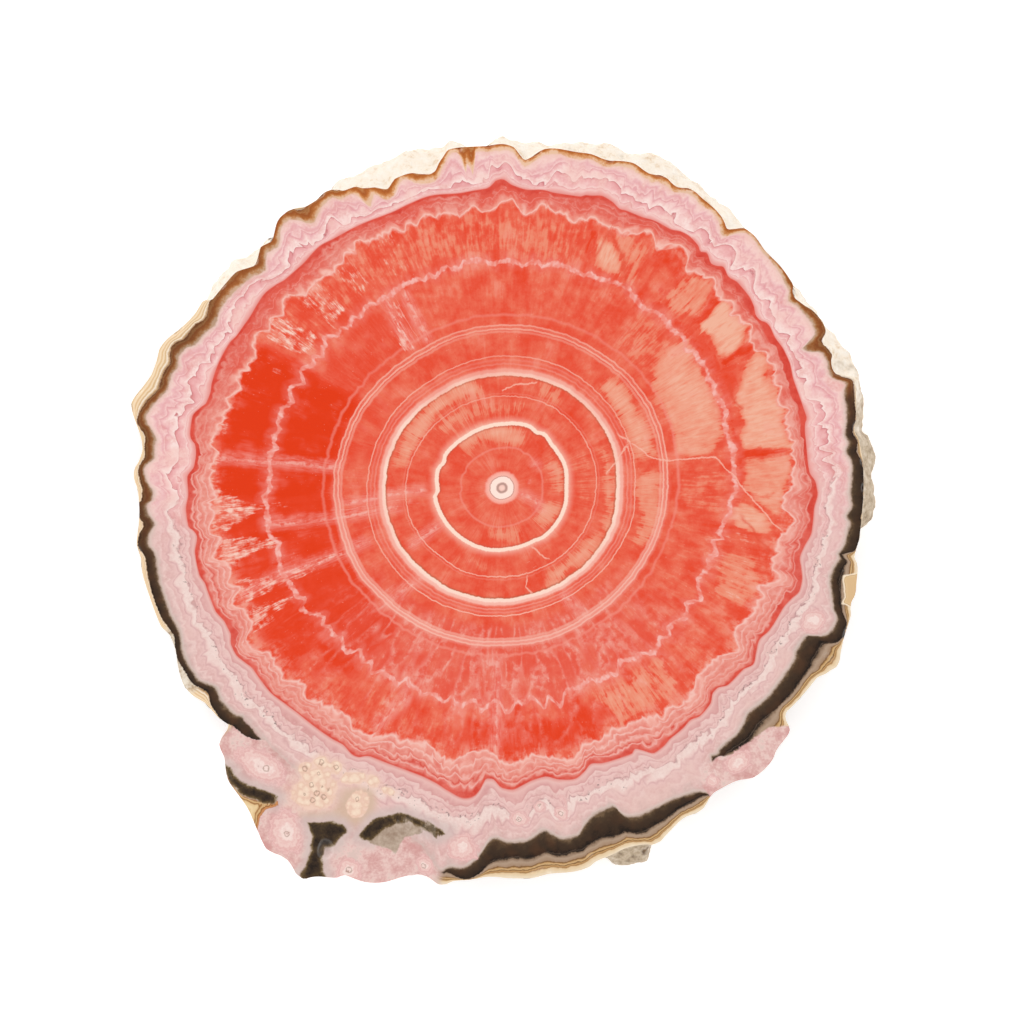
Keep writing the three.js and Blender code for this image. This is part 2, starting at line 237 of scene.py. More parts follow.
ZIGZAG_LINE = around({
    0: 41.12, 3: 41.75, 5: 40.12, 6: 41.38, 7.2: 39.88, 7.9: 41.38, 9: 41, 11: 41, 11.3: 40, 12: 41,
    13.5: 41.5, 15: 41.5, 16.3: 39.75, 18: 39.75, 20: 39.75, 21: 39.5, 25: 40, 27.2: 40, 27.6: 40.88,
    28.8: 39.88, 30.5: 39.56, 31.8: 40.38, 33: 40.12, 35.2: 41.12, 36.3: 40, 38: 40, 40: 41.25,
    41.3: 41.5, 41.6: 40.62, 42.6: 40.38, 43.7: 39.56, 45: 41, 46.6: 41.62, 47.5: 41.25, 48.8: 40.12,
    49.5: 40.5, 50.1: 40, 51: 40.62, 52.6: 41.12, 53: 39.81, 57: 39.62, 57.7: 40.38, 60: 40.25,
    61.5: 40.25, 62.2: 39.5, 63: 40.12, 65: 39.56, 65.7: 40, 67.8: 39.44, 68.4: 40.5, 71: 40.88,
    74: 40.62, 75.2: 40.25, 75.7: 40.62, 76.7: 39.5, 78: 40, 79: 40.38, 80: 40.25, 82: 38.25, 84: 38.12,
    85.5: 38.69, 87: 38.88, 88.6: 40.25, 89.5: 40.62, 90.6: 39.88, 92: 40.25, 92.2: 39.06, 93.2: 38.5,
    95: 38.19, 100: 38.06, 103: 38.38, 108: 38.12, 112: 37.94, 117: 38.06, 119: 38.75, 120: 38.25,
    121.3: 38.38, 121.7: 39.5, 122.6: 39.75, 124.2: 38.88, 125.3: 38.44, 128.6: 38.5, 130.4: 39.62,
    131.5: 39.5, 134.2: 38.31, 138: 39, 139.3: 39.75, 142: 40.31, 146: 40.5, 149: 40, 150: 39,
    151: 39.5, 153.4: 39.75, 154: 40.12, 155.2: 39.56, 156.6: 39.62, 157.6: 40.75, 159: 41.12, 160: 41,
    161.5: 41.38, 163.6: 40, 165: 40.12, 166.4: 40.88, 168: 41.38, 172: 41.12, 175.4: 40.62, 177: 41.88,
    179: 41.38, 180.5: 40.75, 182.6: 40.38, 183.8: 41.75, 185: 41.25, 187: 41.25, 188: 41, 191: 41.5,
    194.6: 40.88, 196: 41.38, 200: 41.38, 204.8: 41.5, 206.3: 40.75, 208: 41.38, 211: 41.38, 213: 41.38,
    216.5: 41, 218: 41.38, 220: 41.38, 222: 40.75, 226: 40.88, 232: 40.62, 236: 40.88, 239: 40.62,
    240.5: 40.25, 244: 40.12, 247: 40.62, 250: 40.25, 254: 40.5, 258: 41, 262: 41.62, 264.5: 41.62,
    266.5: 40.62, 268.5: 40, 271: 40.88, 272: 41.5, 274: 41.5, 275.2: 40.38, 277.5: 39.75, 279: 40.62,
    280.3: 41.38, 281.2: 41.25, 282: 39.88, 284: 39.88, 288: 39.31, 292: 39.5, 296: 39.38, 298: 39.88,
    301: 40.38, 305: 40, 310: 40.12, 314: 40.12, 316.3: 39.31, 320: 39.44, 324: 40.06, 327: 40,
    330: 39.69, 334: 39.88, 338: 40.38, 341: 41.12, 342.5: 41, 345: 40.38, 348: 40.5, 352: 41,
    354: 41.25, 356.5: 40.69, 358: 40.75})
RIM_START = around({
    0: 43.75, 2: 43.88, 4: 44, 6: 43.38, 7.5: 43.75, 9: 43.5, 11: 44, 13: 44.25, 15: 44.38, 17: 45,
    17.6: 44.5, 18.3: 43.75, 19.5: 43.5, 21.5: 43.75, 23: 43.5, 23.8: 42.38, 24.4: 41.75, 25: 41.62,
    25.5: 42.75, 26.2: 43.75, 28: 44, 30: 43.75, 32: 43.38, 33: 43, 34.8: 43.75, 38: 44.12, 42: 44.25,
    45.5: 44.62, 46.5: 44.25, 47.5: 43.38, 48.5: 42.25, 49.3: 42.19, 50: 42.88, 51: 43.38, 53: 43.62,
    55: 43.5, 57: 44, 58: 43.75, 60: 43, 62: 43.25, 63: 43.25, 64: 42.75, 66: 43.38, 70: 43.25,
    72: 42.62, 74: 43.12, 75: 43, 77: 42.38, 80: 42.75, 82: 42.62, 83: 42.25, 84: 41.88, 84.7: 41.12,
    85.5: 40.75, 86.5: 41.25, 87.5: 42, 88.5: 42.75, 90: 43, 91: 42.5, 92: 42.31, 94.4: 42.5,
    94.9: 40.75, 95.4: 39.62, 96: 41.38, 96.5: 40, 97: 41.62, 97.6: 42.62, 98.6: 42.62, 99.5: 42,
    100.5: 41, 101.5: 40, 102.5: 39.62, 104: 39.5, 105.5: 39.75, 106.5: 40.38, 107.6: 40.88,
    108.6: 40.62, 109.5: 39.75, 110.5: 39.19, 111.5: 39.06, 112.5: 39.5, 113.5: 40.38, 114.4: 40.38,
    115: 39.06, 115.5: 39.38, 116: 40.62, 117: 41.5, 119: 41.5, 120.3: 42.25, 122: 42.12, 124: 41.38,
    125.3: 40.88, 126.3: 41.25, 127: 42.12, 129.3: 43.25, 130.6: 42.88, 131: 42.5, 132: 41.75,
    133: 41.38, 134.5: 41.81, 136: 41.25, 137.4: 40.44, 139.5: 41, 142: 41.38, 145: 41.75, 147: 41.88,
    150.3: 41.38, 152: 41.88, 155: 42.5, 156: 43.25, 158: 43.75, 159.4: 43.38, 161: 43.75, 163.5: 43.75,
    166: 44.75, 168.5: 45.5, 169.5: 45.25, 171: 44.25, 172: 43.81, 173: 43.88, 174.8: 43.75, 177: 44.88,
    179: 44.5, 180.6: 43.75, 182: 43.88, 182.7: 44.62, 184: 44.5, 186: 43.75, 187: 44.38, 189: 44.88,
    191: 44.25, 196: 44.5, 200: 44.5, 204: 44.25, 206: 44.75, 208: 45.12, 212: 45.12, 214: 44.12,
    215: 43.75, 217: 44.12, 220: 44, 221.6: 43.38, 224: 43.38, 226: 43.5, 232: 43.88, 240: 44.12,
    250: 44.38, 257: 46, 261: 48.62, 262: 48, 264: 47.88, 265.3: 47.25, 266.5: 46.12, 268: 44.25,
    268.8: 43.88, 271: 44.38, 273.5: 44.44, 275: 44, 277: 43.25, 278.4: 43.88, 280: 44.69, 282: 44.62,
    284: 43.38, 286: 42.5, 289.4: 42.19, 290: 43.25, 290.8: 44.06, 293: 44.5, 298: 44.5, 301: 44.88,
    303: 45.38, 304.4: 46.25, 305.5: 45.62, 307: 44, 308: 42.62, 309: 42.88, 310: 42.62, 314: 42.62,
    316: 42.25, 317.3: 41.88, 319: 42, 322: 42.38, 326: 42.5, 330: 42.5, 331: 42.19, 334: 42.38,
    334.7: 43.38, 335.3: 44.38, 337: 45.12, 338.5: 45.12, 340: 44.25, 342: 43.5, 345: 42.69, 347: 42.88,
    348.3: 43.25, 349: 43, 350: 43.38, 353: 43.75, 354: 43.88, 355.4: 43.38, 357: 43.88, 359: 43.62})
# how thick the dark layer is, which is brown along the top
DARK_THICK = around({
    0: 1.38, 2: 1.38, 4: 1, 6: 1.06, 7: 1, 9: 0.75, 11: 0.88, 13: 0.88, 15: 1, 17: 0.56, 17.6: 0.62,
    18.3: 0.5, 20: 0.31, 21.5: 0.38, 23: 0.5, 23.8: 1.44, 25: 2.12, 25.5: 1.75, 27: 1.01, 28.5: 0.75,
    30: 0.62, 31: 0.44, 33: 0.5, 34: 0.33, 36: 0.23, 38: 0.16, 42: 0.1, 45.5: 0.1, 46.5: 0.25,
    47.5: 0.5, 48.5: 1, 49.3: 0.94, 50: 0.75, 51: 0.5, 53: 0.38, 55: 0.31, 57: 0.38, 58: 0.38, 60: 0.62,
    63: 0.56, 64.5: 0.59, 68: 0.56, 70: 0.5, 72: 0.69, 75: 0.44, 77: 0.75, 80: 0.5, 82: 0.5, 84: 0.62,
    85.6: 0.58, 87.5: 0.5, 89: 0.42, 90.5: 0.62, 91.3: 0.43, 94.4: 0.4, 94.9: 2.1,
    95.4: 3.2, 96: 1.5, 96.5: 2.9, 97: 1.25, 97.6: 0.3, 98.5: 0.31, 99.5: 0.62,
    100.5: 0.88, 101.5: 0.88, 102.5: 0.88, 104: 0.88, 106: 0.75, 107.6: 0.25, 109: 0.76, 110.5: 0.94,
    111.2: 0.77, 112.2: 1.01, 113.4: 0.71, 115: 2.31, 117: 0.5, 118: 0.38, 120.3: 0.62, 122: 0.5,
    125: 1.51, 127: 1.25, 128.5: 0.89, 130.5: 0.72, 132: 0.81, 133: 0.88, 134.5: 1, 136: 1, 138: 1.21,
    139.5: 1.44, 144: 1.25, 146: 1.19, 150.2: 0.98, 152: 1.25, 155: 1.12, 156.4: 1.09, 158: 0.75,
    159.3: 0.6, 162: 0.62, 165: 0.52, 168.5: 0.5, 170: 1.02, 171: 1, 172: 0.88, 175: 0.77, 177: 0.38,
    179: 0.5, 181: 1, 190: 1.05, 200: 1, 205: 0.6, 212: 0.6, 216: 1.1, 221: 1.4, 223.5: 1.2, 225.5: 0.5,
    227: -0.5, 260: -0.5, 262: 0.4, 265: 1.5, 268: 2.6, 272: 1.6, 277: 2.5, 281: 1.4, 285: 2.6,
    289: 3.4, 290.5: 2, 293: 1.8, 300: 1, 303: 0.4, 304.5: 0.1, 307: 0.1, 308.5: 0.5, 312: 0.8,
    318: 1.5, 325: 1.7, 330: 1.9, 333: 2.0, 336: 1.5, 341: 0.9, 344: 0.9, 347.6: 0.9, 348.8: 0.1, 350: 1.4,
    355: 1.5})
# most of that layer has to fit on the face, also where the face ends soon after the layer's start
RIM_ON_FACE = np.minimum(RIM_START, FACE_EDGE - np.maximum(0.15, DARK_THICK * 0.85))
RINGS = [
    (0.0, 0 * DEGREES), (8.1, CREAM_RING), (11.6, FINE_RING), (14.6, BOLD_RING), (16.5, PALE_RING),
    (20.2, DOUBLE_RING), (28.3, THIRD_RING), (35.0, SPAR_END), (38.0, PINK_START),
    (40.5, ZIGZAG_LINE), (43.2, RIM_ON_FACE), (46.0, FACE_EDGE)]
NOMINAL = np.array([nominal for nominal, _ in RINGS])
OUT = np.array([curve for _, curve in RINGS])
GROWN = NOMINAL[-1]
print(f"{len(RINGS)} rings, {np.diff(OUT, axis=0).min():.2f} mm apart where they are closest")


def distance_at(growth):
    """Distance from the canal, for rows of growth and columns of angle: evenly between two rings."""
    k = np.clip(np.searchsorted(NOMINAL, growth, side="right") - 1, 0, len(NOMINAL) - 2)
    t = ((growth - NOMINAL[k]) / (NOMINAL[k + 1] - NOMINAL[k]))[:, None]
    return OUT[k] * (1 - t) + OUT[k + 1] * t


# %% [markdown]
# ## Rough stone
# Broken rock is rough at many sizes at once. Lattice noise gives that: every corner of a cubic lattice
# has its own number from a small integer hash, a smooth blend fills the cube, and octaves of it add up.
# It needs no random generator, so the stone is the same in each run.

# %% Lattice noise in numpy
AXIS_PRIMES = (73856093, 19349663, 83492791)
FIRST_MIX, SECOND_MIX = 1274126177, 668265263


def lattice_noise(x, y, z):
    """Value from -1 to 1 at each point: eight corner numbers blended by smooth weights."""
    cell = [np.floor(c).astype(np.int64) for c in (x, y, z)]
    part = [c - f for c, f in zip((x, y, z), cell)]
    weight = [p * p * (3 - 2 * p) for p in part]
    total = np.zeros(np.shape(x))
    for corner in range(8):
        step = [corner >> axis & 1 for axis in range(3)]
        key = sum((f + s) * prime for f, s, prime in zip(cell, step, AXIS_PRIMES))
        key = (key ^ (key >> 13)) * FIRST_MIX & 0xFFFFFF
        key = (key ^ (key >> 11)) * SECOND_MIX & 0xFFFFFF
        share = 1.0
        for w, s in zip(weight, step):
            share = share * (w if s else 1 - w)
        total += share * (key / 0x7FFFFF - 1)
    return total


def rough(x, y, z, size, octaves=4):
    """Octaves of lattice noise: each is half as large as the one before, and half as strong."""
    total = sum(0.5 ** k * lattice_noise(x * 2 ** k / size + 7 * k, y * 2 ** k / size, z * 2 ** k / size)
                for k in range(octaves))
    return total / (2 - 0.5 ** (octaves - 1))


# %% [markdown]
# ## The surface as two parameters
# One parameter is the angle. The other walks from the middle of the face out along the growth rings,
# over the edge, down the rind, and back under the stone to its middle. Rows on the face lie *on* the
# rings, so a band never crosses a triangle and stays sharp.

# %% Rows of the walk
FACE_ROWS = [8, 4, 4, 3, 4, 8, 8, 4, 4, 6, 27]
BACK_ROWS = [2, 1, 1, 1, 1, 2, 2, 1, 2, 2, 4]
WALL_DOWN = np.array([0.015, 0.05, 0.1, 0.16, 0.23, 0.31, 0.4, 0.5, 0.6, 0.69, 0.77, 0.85, 0.92, 0.97])


def growth_rows(counts):
    """Growth of each row, outwards: evenly spaced between two rings, and one row on each ring."""
    parts = [np.linspace(a, b, n + 1)[1:] for a, b, n in zip(NOMINAL[:-1], NOMINAL[1:], counts)]
    return np.concatenate(parts)


face_growth = growth_rows(FACE_ROWS)
back_growth = growth_rows(BACK_ROWS)[::-1]

turn = np.radians(DEGREES)[None, :]
face_out = distance_at(face_growth)


def wall_at(down):
    """The solid's wall at a share of the way down, by blending the two levels next to it."""
    level = (1 - down) * THICKNESS
    k = np.clip(np.searchsorted(-HEIGHTS, -level, side="right") - 1, 0, len(HEIGHTS) - 2)
    t = ((HEIGHTS[k] - level) / (HEIGHTS[k] - HEIGHTS[k + 1]))[:, None]
    return WALL[k] * (1 - t) + WALL[k + 1] * t


wall_out = wall_at(WALL_DOWN)
RINGS_ONLY = 38.0
towards_edge = np.clip((back_growth - RINGS_ONLY) / (GROWN - RINGS_ONLY), 0, 1)[:, None]
back_out = distance_at(back_growth) * (1 + towards_edge * (WALL[-1] / FACE_EDGE - 1))

# %% Roughness of the rind
RIND_ROUGH, RIND_LUMP = 0.34, 1.6
COVER_ROUGH, COVER_LUMP = 0.75, 2.6
FADE_BELOW_FACE, FADE_ABOVE_BACK = 0.12, 0.1
covered = np.clip(WALL.max(0) - FACE_EDGE, 0, 1)
wall_z = (1 - WALL_DOWN)[:, None] * THICKNESS + 0 * turn
wx, wy = wall_out * np.cos(turn), wall_out * np.sin(turn)
fade = np.clip(WALL_DOWN / FADE_BELOW_FACE, 0, 1) * np.clip((1 - WALL_DOWN) / FADE_ABOVE_BACK, 0, 1)
bumps = RIND_ROUGH * rough(wx, wy, wall_z, RIND_LUMP)
bumps = fade[:, None] * (bumps + COVER_ROUGH * covered * rough(wx, wy, wall_z, COVER_LUMP))
wall_out = wall_out + bumps
print(f"the rind is rough by {abs(bumps).max():.2f} mm at most")

# %% [markdown]
# ## Features that are not rings
# The lobe at the lower left holds small round growths, each with rings of its own, dark iron-rich
# patches, and a few open hollows. They are placed one by one, in millimetres from the canal: ovals for
# the growths, outlines for the patches. Every vertex then learns how far it is from them.

# %% Helpers: distances to ovals, lines and outlines
def oval(x, y, middle, radii, tilt=0.0):
    """How far out in an oval a point is: 0 in its middle, 1 on its edge."""
    c, s = np.cos(np.radians(tilt)), np.sin(np.radians(tilt))
    dx, dy = x - middle[0], y - middle[1]
    return np.hypot((dx * c + dy * s) / radii[0], (dy * c - dx * s) / radii[1])


def to_line(x, y, points):
    """Distance to a line of straight pieces, its sign (which side), and how far along it, from 0 to 1."""
    best = np.full(np.shape(x), 1e9)
    side, along = np.zeros(np.shape(x)), np.zeros(np.shape(x))
    points = np.array(points, float)
    steps = np.hypot(*np.diff(points, axis=0).T)
    reached = 0.0
    for (ax, ay), (bx, by), length in zip(points[:-1], points[1:], steps):
        px, py, ux, uy = x - ax, y - ay, (bx - ax) / length, (by - ay) / length
        t = np.clip(px * ux + py * uy, 0, length)
        away = np.hypot(px - t * ux, py - t * uy)
        closer = away < best
        best = np.where(closer, away, best)
        side = np.where(closer, np.sign(ux * py - uy * px), side)
        along = np.where(closer, (reached + t) / steps.sum(), along)
        reached += length
    return best, side, along


def inside_outline(x, y, points):
    """Depth inside a closed outline in mm, negative outside it: an odd number of crossings is inside."""
    closed = [*points, points[0]]
    away, _, _ = to_line(x, y, closed)
    odd = np.zeros(np.shape(x), bool)
    for (ax, ay), (bx, by) in zip(closed[:-1], closed[1:]):
        spans = (ay > y) != (by > y)
        odd ^= spans & (x < ax + (y - ay) * (bx - ax) / ((by - ay) or 1e-9))
    return np.where(odd, away, -away)


def polar(points):
    """(angle, distance) pairs as (x, y)."""
    return [(d * np.cos(np.radians(a)), d * np.sin(np.radians(a))) for a, d in points]


# %% The lobe's growths and patches
# each growth: its middle, its two radii and its tilt in degrees
PINK_GROWTHS = [
    ((-30.1, -34.7), (3.5, 1.7), -33), ((-27.0, -43.0), (2.0, 2.6), 20), ((-5.0, -45.0), (1.8, 1.6), 0),
    ((-19.2, -47.9), (1.5, 1.5), 0), ((-9.6, -47.2), (0.9, 1.2), 15), ((38.9, -16.6), (1.45, 1.5), 0),
    ((2.2, -41.4), (1.2, 0.9), 0), ((4.6, -39.9), (0.8, 0.7), 0), ((7.3, -40.6), (0.95, 0.8), 0),
    ((7.4, -38.9), (0.6, 0.5), 0), ((29.4, -34.2), (1.8, 1.2), 35), ((26.2, -36.6), (0.9, 0.7), 0)]
CREAM_GROWTHS = [
    ((-23.4, -38.0), (2.9, 2.1), 15), ((-24.5, -35.1), (0.95, 0.9), 0), ((-22.6, -34.3), (1.0, 0.85), 0),
    ((-20.9, -34.9), (0.9, 0.85), 0), ((-23.0, -36.0), (1.5, 0.9), 0), ((-18.0, -39.5), (1.35, 1.8), -20),
    ((-18.4, -36.2), (1.7, 0.7), 0), ((-16.1, -36.6), (1.0, 0.6), -30), ((-14.2, -37.9), (0.9, 0.5), -20)]
# middle and radius of the small ring-shaped pits in the cream growths
RING_PITS = [
    (-23.8, -37.1, 0.36), (-23, -38.2, 0.4), (-22.1, -38.6, 0.34), (-21.5, -37.5, 0.3),
    (-22.4, -37.4, 0.28), (-23.6, -39, 0.34), (-24.6, -38.3, 0.24), (-24.5, -35.1, 0.4),
    (-22.6, -34.3, 0.4), (-20.9, -34.9, 0.36), (-22.9, -35.7, 0.24), (-18, -38.9, 0.3),
    (-29.5, -35.1, 0.42), (-27, -43.3, 0.36), (-19.1, -47.8, 0.4), (-9.7, -47.3, 0.34), (2.2, -41.4, 0.34),
    (7.2, -40.6, 0.36), (7.4, -38.9, 0.22), (4.6, -39.8, 0.26)]
DARK_PATCHES = [
    [(-34.8, -34.5), (-34.0, -35.0), (-33.4, -36.1), (-32.1, -37.0), (-30.5, -37.7), (-28.9, -38.2),
     (-28.0, -38.7), (-28.6, -39.4), (-29.9, -39.3), (-31.2, -38.8), (-32.6, -38.2), (-33.7, -37.0)],
    [(-24.4, -41.9), (-23.2, -41.9), (-21.3, -41.7), (-20.0, -42.2), (-19.4, -43.0), (-20.3, -43.6),
     (-21.0, -44.7), (-22.2, -45.0), (-22.6, -46.2), (-22.4, -47.4), (-22.0, -49.2), (-23.6, -49.6),
     (-25.0, -49.6), (-25.1, -48.3), (-24.3, -47.1), (-23.8, -45.5), (-23.7, -43.9), (-24.0, -42.8)],
    [(-17.9, -43.6), (-17.1, -42.6), (-15.9, -41.5), (-14.3, -41.0), (-12.7, -40.8), (-11.1, -41.2),
     (-9.5, -41.8), (-8.0, -42.6), (-6.6, -42.9), (-8.2, -43.7), (-9.8, -42.6), (-11.7, -41.8),
     (-13.3, -41.9), (-14.6, -42.5), (-15.5, -43.3), (-16.3, -43.9), (-17.3, -43.9)]]
SPUR = [
    (24.9, -36), (25.4, -34.7), (26.9, -33.7), (28.8, -33.3), (30.4, -32.1), (32, -30.8), (33.6, -30),
    (35.5, -29.8), (36.6, -29.6), (37.5, -31), (35, -35), (30, -39), (26.4, -39.2), (25, -37.5)]
PALE_BOX = [(42.9, -11.0), (45.2, -10.6), (45.2, -14.6), (43.5, -14.8), (42.7, -14.4), (42.9, -13.4)]
BEIGE_HALO = [
    (-25.3, -40.4), (-21.6, -40.2), (-20.4, -38.8), (-19.8, -37.3), (-16.2, -37.4), (-15.4, -39),
    (-15.8, -40.6), (-17, -41.8), (-18.5, -42.8), (-20, -41.8), (-22, -41.4), (-24.4, -41.6), (-25.6, -41.2)]
TAN_PATCH = [
    (-34.9, -35.2), (-33.6, -36.8), (-32.2, -38.2), (-30.5, -38.9), (-28, -39), (-28, -39.8),
    (-29.5, -40.2), (-30.3, -41.2), (-30.5, -42.8), (-32.5, -43.5), (-36.5, -39.5), (-37, -36)]
BEIGE_PATCHES = [
    [(-17.3, -43.7), (-15.5, -43.0), (-14.2, -42.2), (-12.7, -41.7), (-11.1, -42.0), (-9.0, -42.7),
     (-11.0, -43.4), (-12.2, -43.6), (-12.7, -44.6), (-13.3, -45.8), (-14.0, -45.3), (-15.2, -44.8),
     (-16.4, -44.3)]]
# each hollow: its middle, its two radii and its depth
HOLLOWS = [((-22.1, -45.2), (0.7, 1.1), 0.9), ((-9.3, -43.1), (0.9, 0.6), 0.7),
           ((-12.2, -42.0), (1.2, 0.35), 0.35), ((26.4, -36.0), (0.5, 0.35), 0.3)]
TINY_HOLES = [(4.0, -48.1), (4.9, -47.7), (5.8, -47.9), (10.9, -45.9), (40.6, -20.9), (41.3, -21.4)]

# %% The parts of the face that are not rings: tone, pale plumes, veins and cracks
# angle from, angle to, distance from, distance to, how far towards peach (1) or deep red (-1)
TONE_PATCHES = [
    (62, 132, 6, 7.9, 0.95), (-6, 30, 6.4, 7.9, 0.8), (318, 343, 5.8, 8, 0.85), (252, 292, 5.2, 6.6, 0.7),
    (127, 140, 5.2, 6.2, 0.6), (74, 100, 9.2, 11.2, 0.45), (100, 137, 9.2, 11, 0.6),
    (100, 168, 12.1, 13.9, 0.95), (54, 72, 12.6, 14.2, 0.6), (336, 22, 13, 14.2, 0.85),
    (296, 332, 12.2, 13.9, 0.8), (232, 262, 9.4, 11, 0.35), (345, 25, 9.6, 11.2, 0.4),
    (12, 46, 17.2, 19.8, 0.95), (338, 6, 17.2, 19.8, 0.8), (39, 52, 22.5, 27.6, 0.35),
    (-6, 6, 21.5, 28, 0.3), (310, 350, 21.5, 27, 0.1), (72, 112, 29, 34.4, 0.35), (112, 148, 29, 34.4, 0.3),
    (58, 140, 21.5, 27.8, 0.05), (118, 150, 21.2, 27.4, -0.35), (149, 183, 20.9, 35.6, -1),
    (183, 200, 21, 35.4, -0.75), (200, 232, 21, 34.6, -0.7), (232, 262, 28.2, 33.8, -0.25),
    (262, 291, 29, 33.6, -0.6), (140, 170, 16.9, 20.2, -0.3), (203, 212, 30, 35.2, -0.6),
    (295, 313, 28.2, 33.4, 0.65), (236, 258, 29.5, 32.6, 0.25), (220, 236, 31, 33.8, 0.2),
    (315, 326, 28.5, 33.5, 0.1)]
# angle from, angle to, distance from, distance to, strength, and how much it opens outwards like a fan
PLUMES = [
    (112.5, 118, 29, 35.2, 0.5, 0), (123.5, 128, 29.2, 35, 0.6, 0), (131, 137.5, 29.4, 35.2, 0.85, 0),
    (140.5, 147.5, 29.6, 35.6, 0.85, 0), (150, 152, 30.5, 35.6, 0.4, 0), (116, 118, 20.8, 28, 0.5, 0),
    (121, 124, 20.8, 28.2, 0.75, 0), (126.5, 128, 22, 26, 0.45, 0), (105, 107, 29, 34.8, 0.4, 0),
    (93, 97, 29, 35, 0.3, 0), (60, 62, 28.8, 35, 0.3, 0), (179, 191, 29.6, 37.4, 1, 0.9),
    (190, 196.5, 28, 37.4, 0.95, 0.7), (199.6, 205, 20.6, 36.5, 0.75, 0.6), (205, 210.5, 29, 36, 0.8, 0.8),
    (171, 176, 20.6, 36.5, 0.15, 0), (189, 192, 12.5, 29.5, 0.25, 0), (182, 187, 26.5, 30.5, 0.5, 0.5),
    (212, 216, 31.5, 35.8, 0.4, 0.5), (240.5, 243, 27.5, 34, 0.45, 0), (257, 260, 27, 33.6, 0.4, 0),
    (267.6, 269.6, 20, 33.5, 0.4, 0), (281, 283, 27, 33.4, 0.3, 0), (299, 312, 28, 33, 0.35, 0),
    (338, 350, 26, 33, 0.4, 0), (352, 357, 24, 30, 0.3, 0), (317, 321, 20.5, 27, 0.4, 0),
    (232, 236, 28, 34, 0.3, 0), (334, 338, 27, 35, 0.4, 0), (221, 226, 31, 35, 0.35, 0.5),
    (163, 170, 35, 38, 0.6, 0), (152, 160, 34.6, 37.6, 0.5, 0), (172, 181, 35.2, 38.5, 0.7, 0)]
# the same ranges for streaks of deep red, and their strength
DEEP_STREAKS = [
    (7.4, 8.8, 29.2, 36, 0.9), (-1.5, -0.4, 29.5, 34.5, 0.5), (28.2, 29.8, 31.4, 36.4, 0.75),
    (40.2, 42, 31, 36, 0.8), (69.5, 72, 29, 34.6, 0.4), (5, 52, 29.2, 30.2, 0.6), (13, 46, 16.7, 17.1, 0.5),
    (46, 52, 31, 34.5, 0.4)]
# clear peach windows between the crystals, and the red wedge between them: an outline and its tone
PEACH_WINDOWS = [
    ([(23.9, 20.4), (25.1, 21.4), (26.6, 22.7), (27.7, 23.3), (28.7, 22.4), (29.1, 21.3), (30.2, 20.4),
      (30.3, 19.1), (30.2, 17.9), (29.3, 16.7), (28.1, 15.5), (27.3, 16.4), (26.6, 17.9), (25.4, 18.8),
      (24.3, 19.7)], 1.35),
    ([(30.8, 16.1), (32, 17), (33, 16.8), (33.3, 15.5), (33.5, 13.7), (34.7, 11.6), (35.1, 9.5),
      (35.3, 7.4), (36.3, 5.9), (36.5, 4.9), (33.2, 4.8), (30.2, 4.9), (29.7, 5.9), (30.5, 7.4),
      (30.2, 9.2), (29.6, 10.4), (30.5, 13.1), (30.6, 14.6)], 1.1),
    ([(30.5, 3.7), (35.6, 3.7), (35.8, 0.2), (36, -2.5), (34.7, -3.4), (33.3, -2.3), (31.7, -0.6),
      (30.6, 0.6)], 0.85),
    ([(30.2, -1.3), (31.7, -1.9), (33.2, -4), (33.5, -5.3), (31.7, -5.5), (29.6, -4.9), (29.3, -3.4)], 1.1),
    ([(27.9, -7.9), (30.2, -8.2), (32, -7.9), (32.6, -9.1), (32.9, -10.9), (32, -13.3), (30.2, -15.1),
      (28.7, -14.5), (26.9, -13.3), (26.6, -11.5), (27.2, -9.1)], 0.55),
    ([(20.7, 24), (21.8, 25.5), (23, 26.4), (24.2, 26.6), (26, 25.8), (26.6, 24.9), (25.4, 23.6),
      (24.2, 22.4), (23.3, 21.3), (22.1, 21.8), (20.9, 22.7)], 0.75),
    ([(22.7, 18.8), (21.5, 18.2), (20, 17), (18.6, 14.9), (18.5, 13.1), (19.4, 11.6), (20, 10.1),
      (20.9, 6.5), (21.5, 4.6), (23.9, 4.1), (26.1, 4.6), (26.9, 5.6), (27.8, 6.5), (27.4, 8.3),
      (26.9, 10.4), (26.1, 12.5), (25.1, 14.3), (24.2, 16.1), (23.7, 17.9)], 0.85),
    ([(20.8, 14.2), (22.8, 14.6), (24.6, 12.4), (25.4, 9.4), (24.6, 6.6), (22.8, 6.2), (21.8, 9.6)], 1.05),
    ([(11, 27.7), (11.8, 30.8), (13.1, 30.8), (13.9, 29.3), (15.1, 26.4), (13.1, 27)], 1.2),
    ([(13.9, 31.2), (15.6, 31.4), (17.2, 30.8), (18.9, 29.8), (17.7, 27.7), (16.6, 25.6), (15.6, 26.4),
      (14.5, 29.3)], 0.5),
    ([(23.9, 20.3), (26, 18.2), (27.5, 15.5), (29, 15.2), (30.2, 13.1), (29.3, 10.1), (29, 5.3),
      (28.1, 5.3), (28.7, 8.9), (27.2, 11.9), (25.1, 16.1), (23.3, 19.7)], -0.4)]
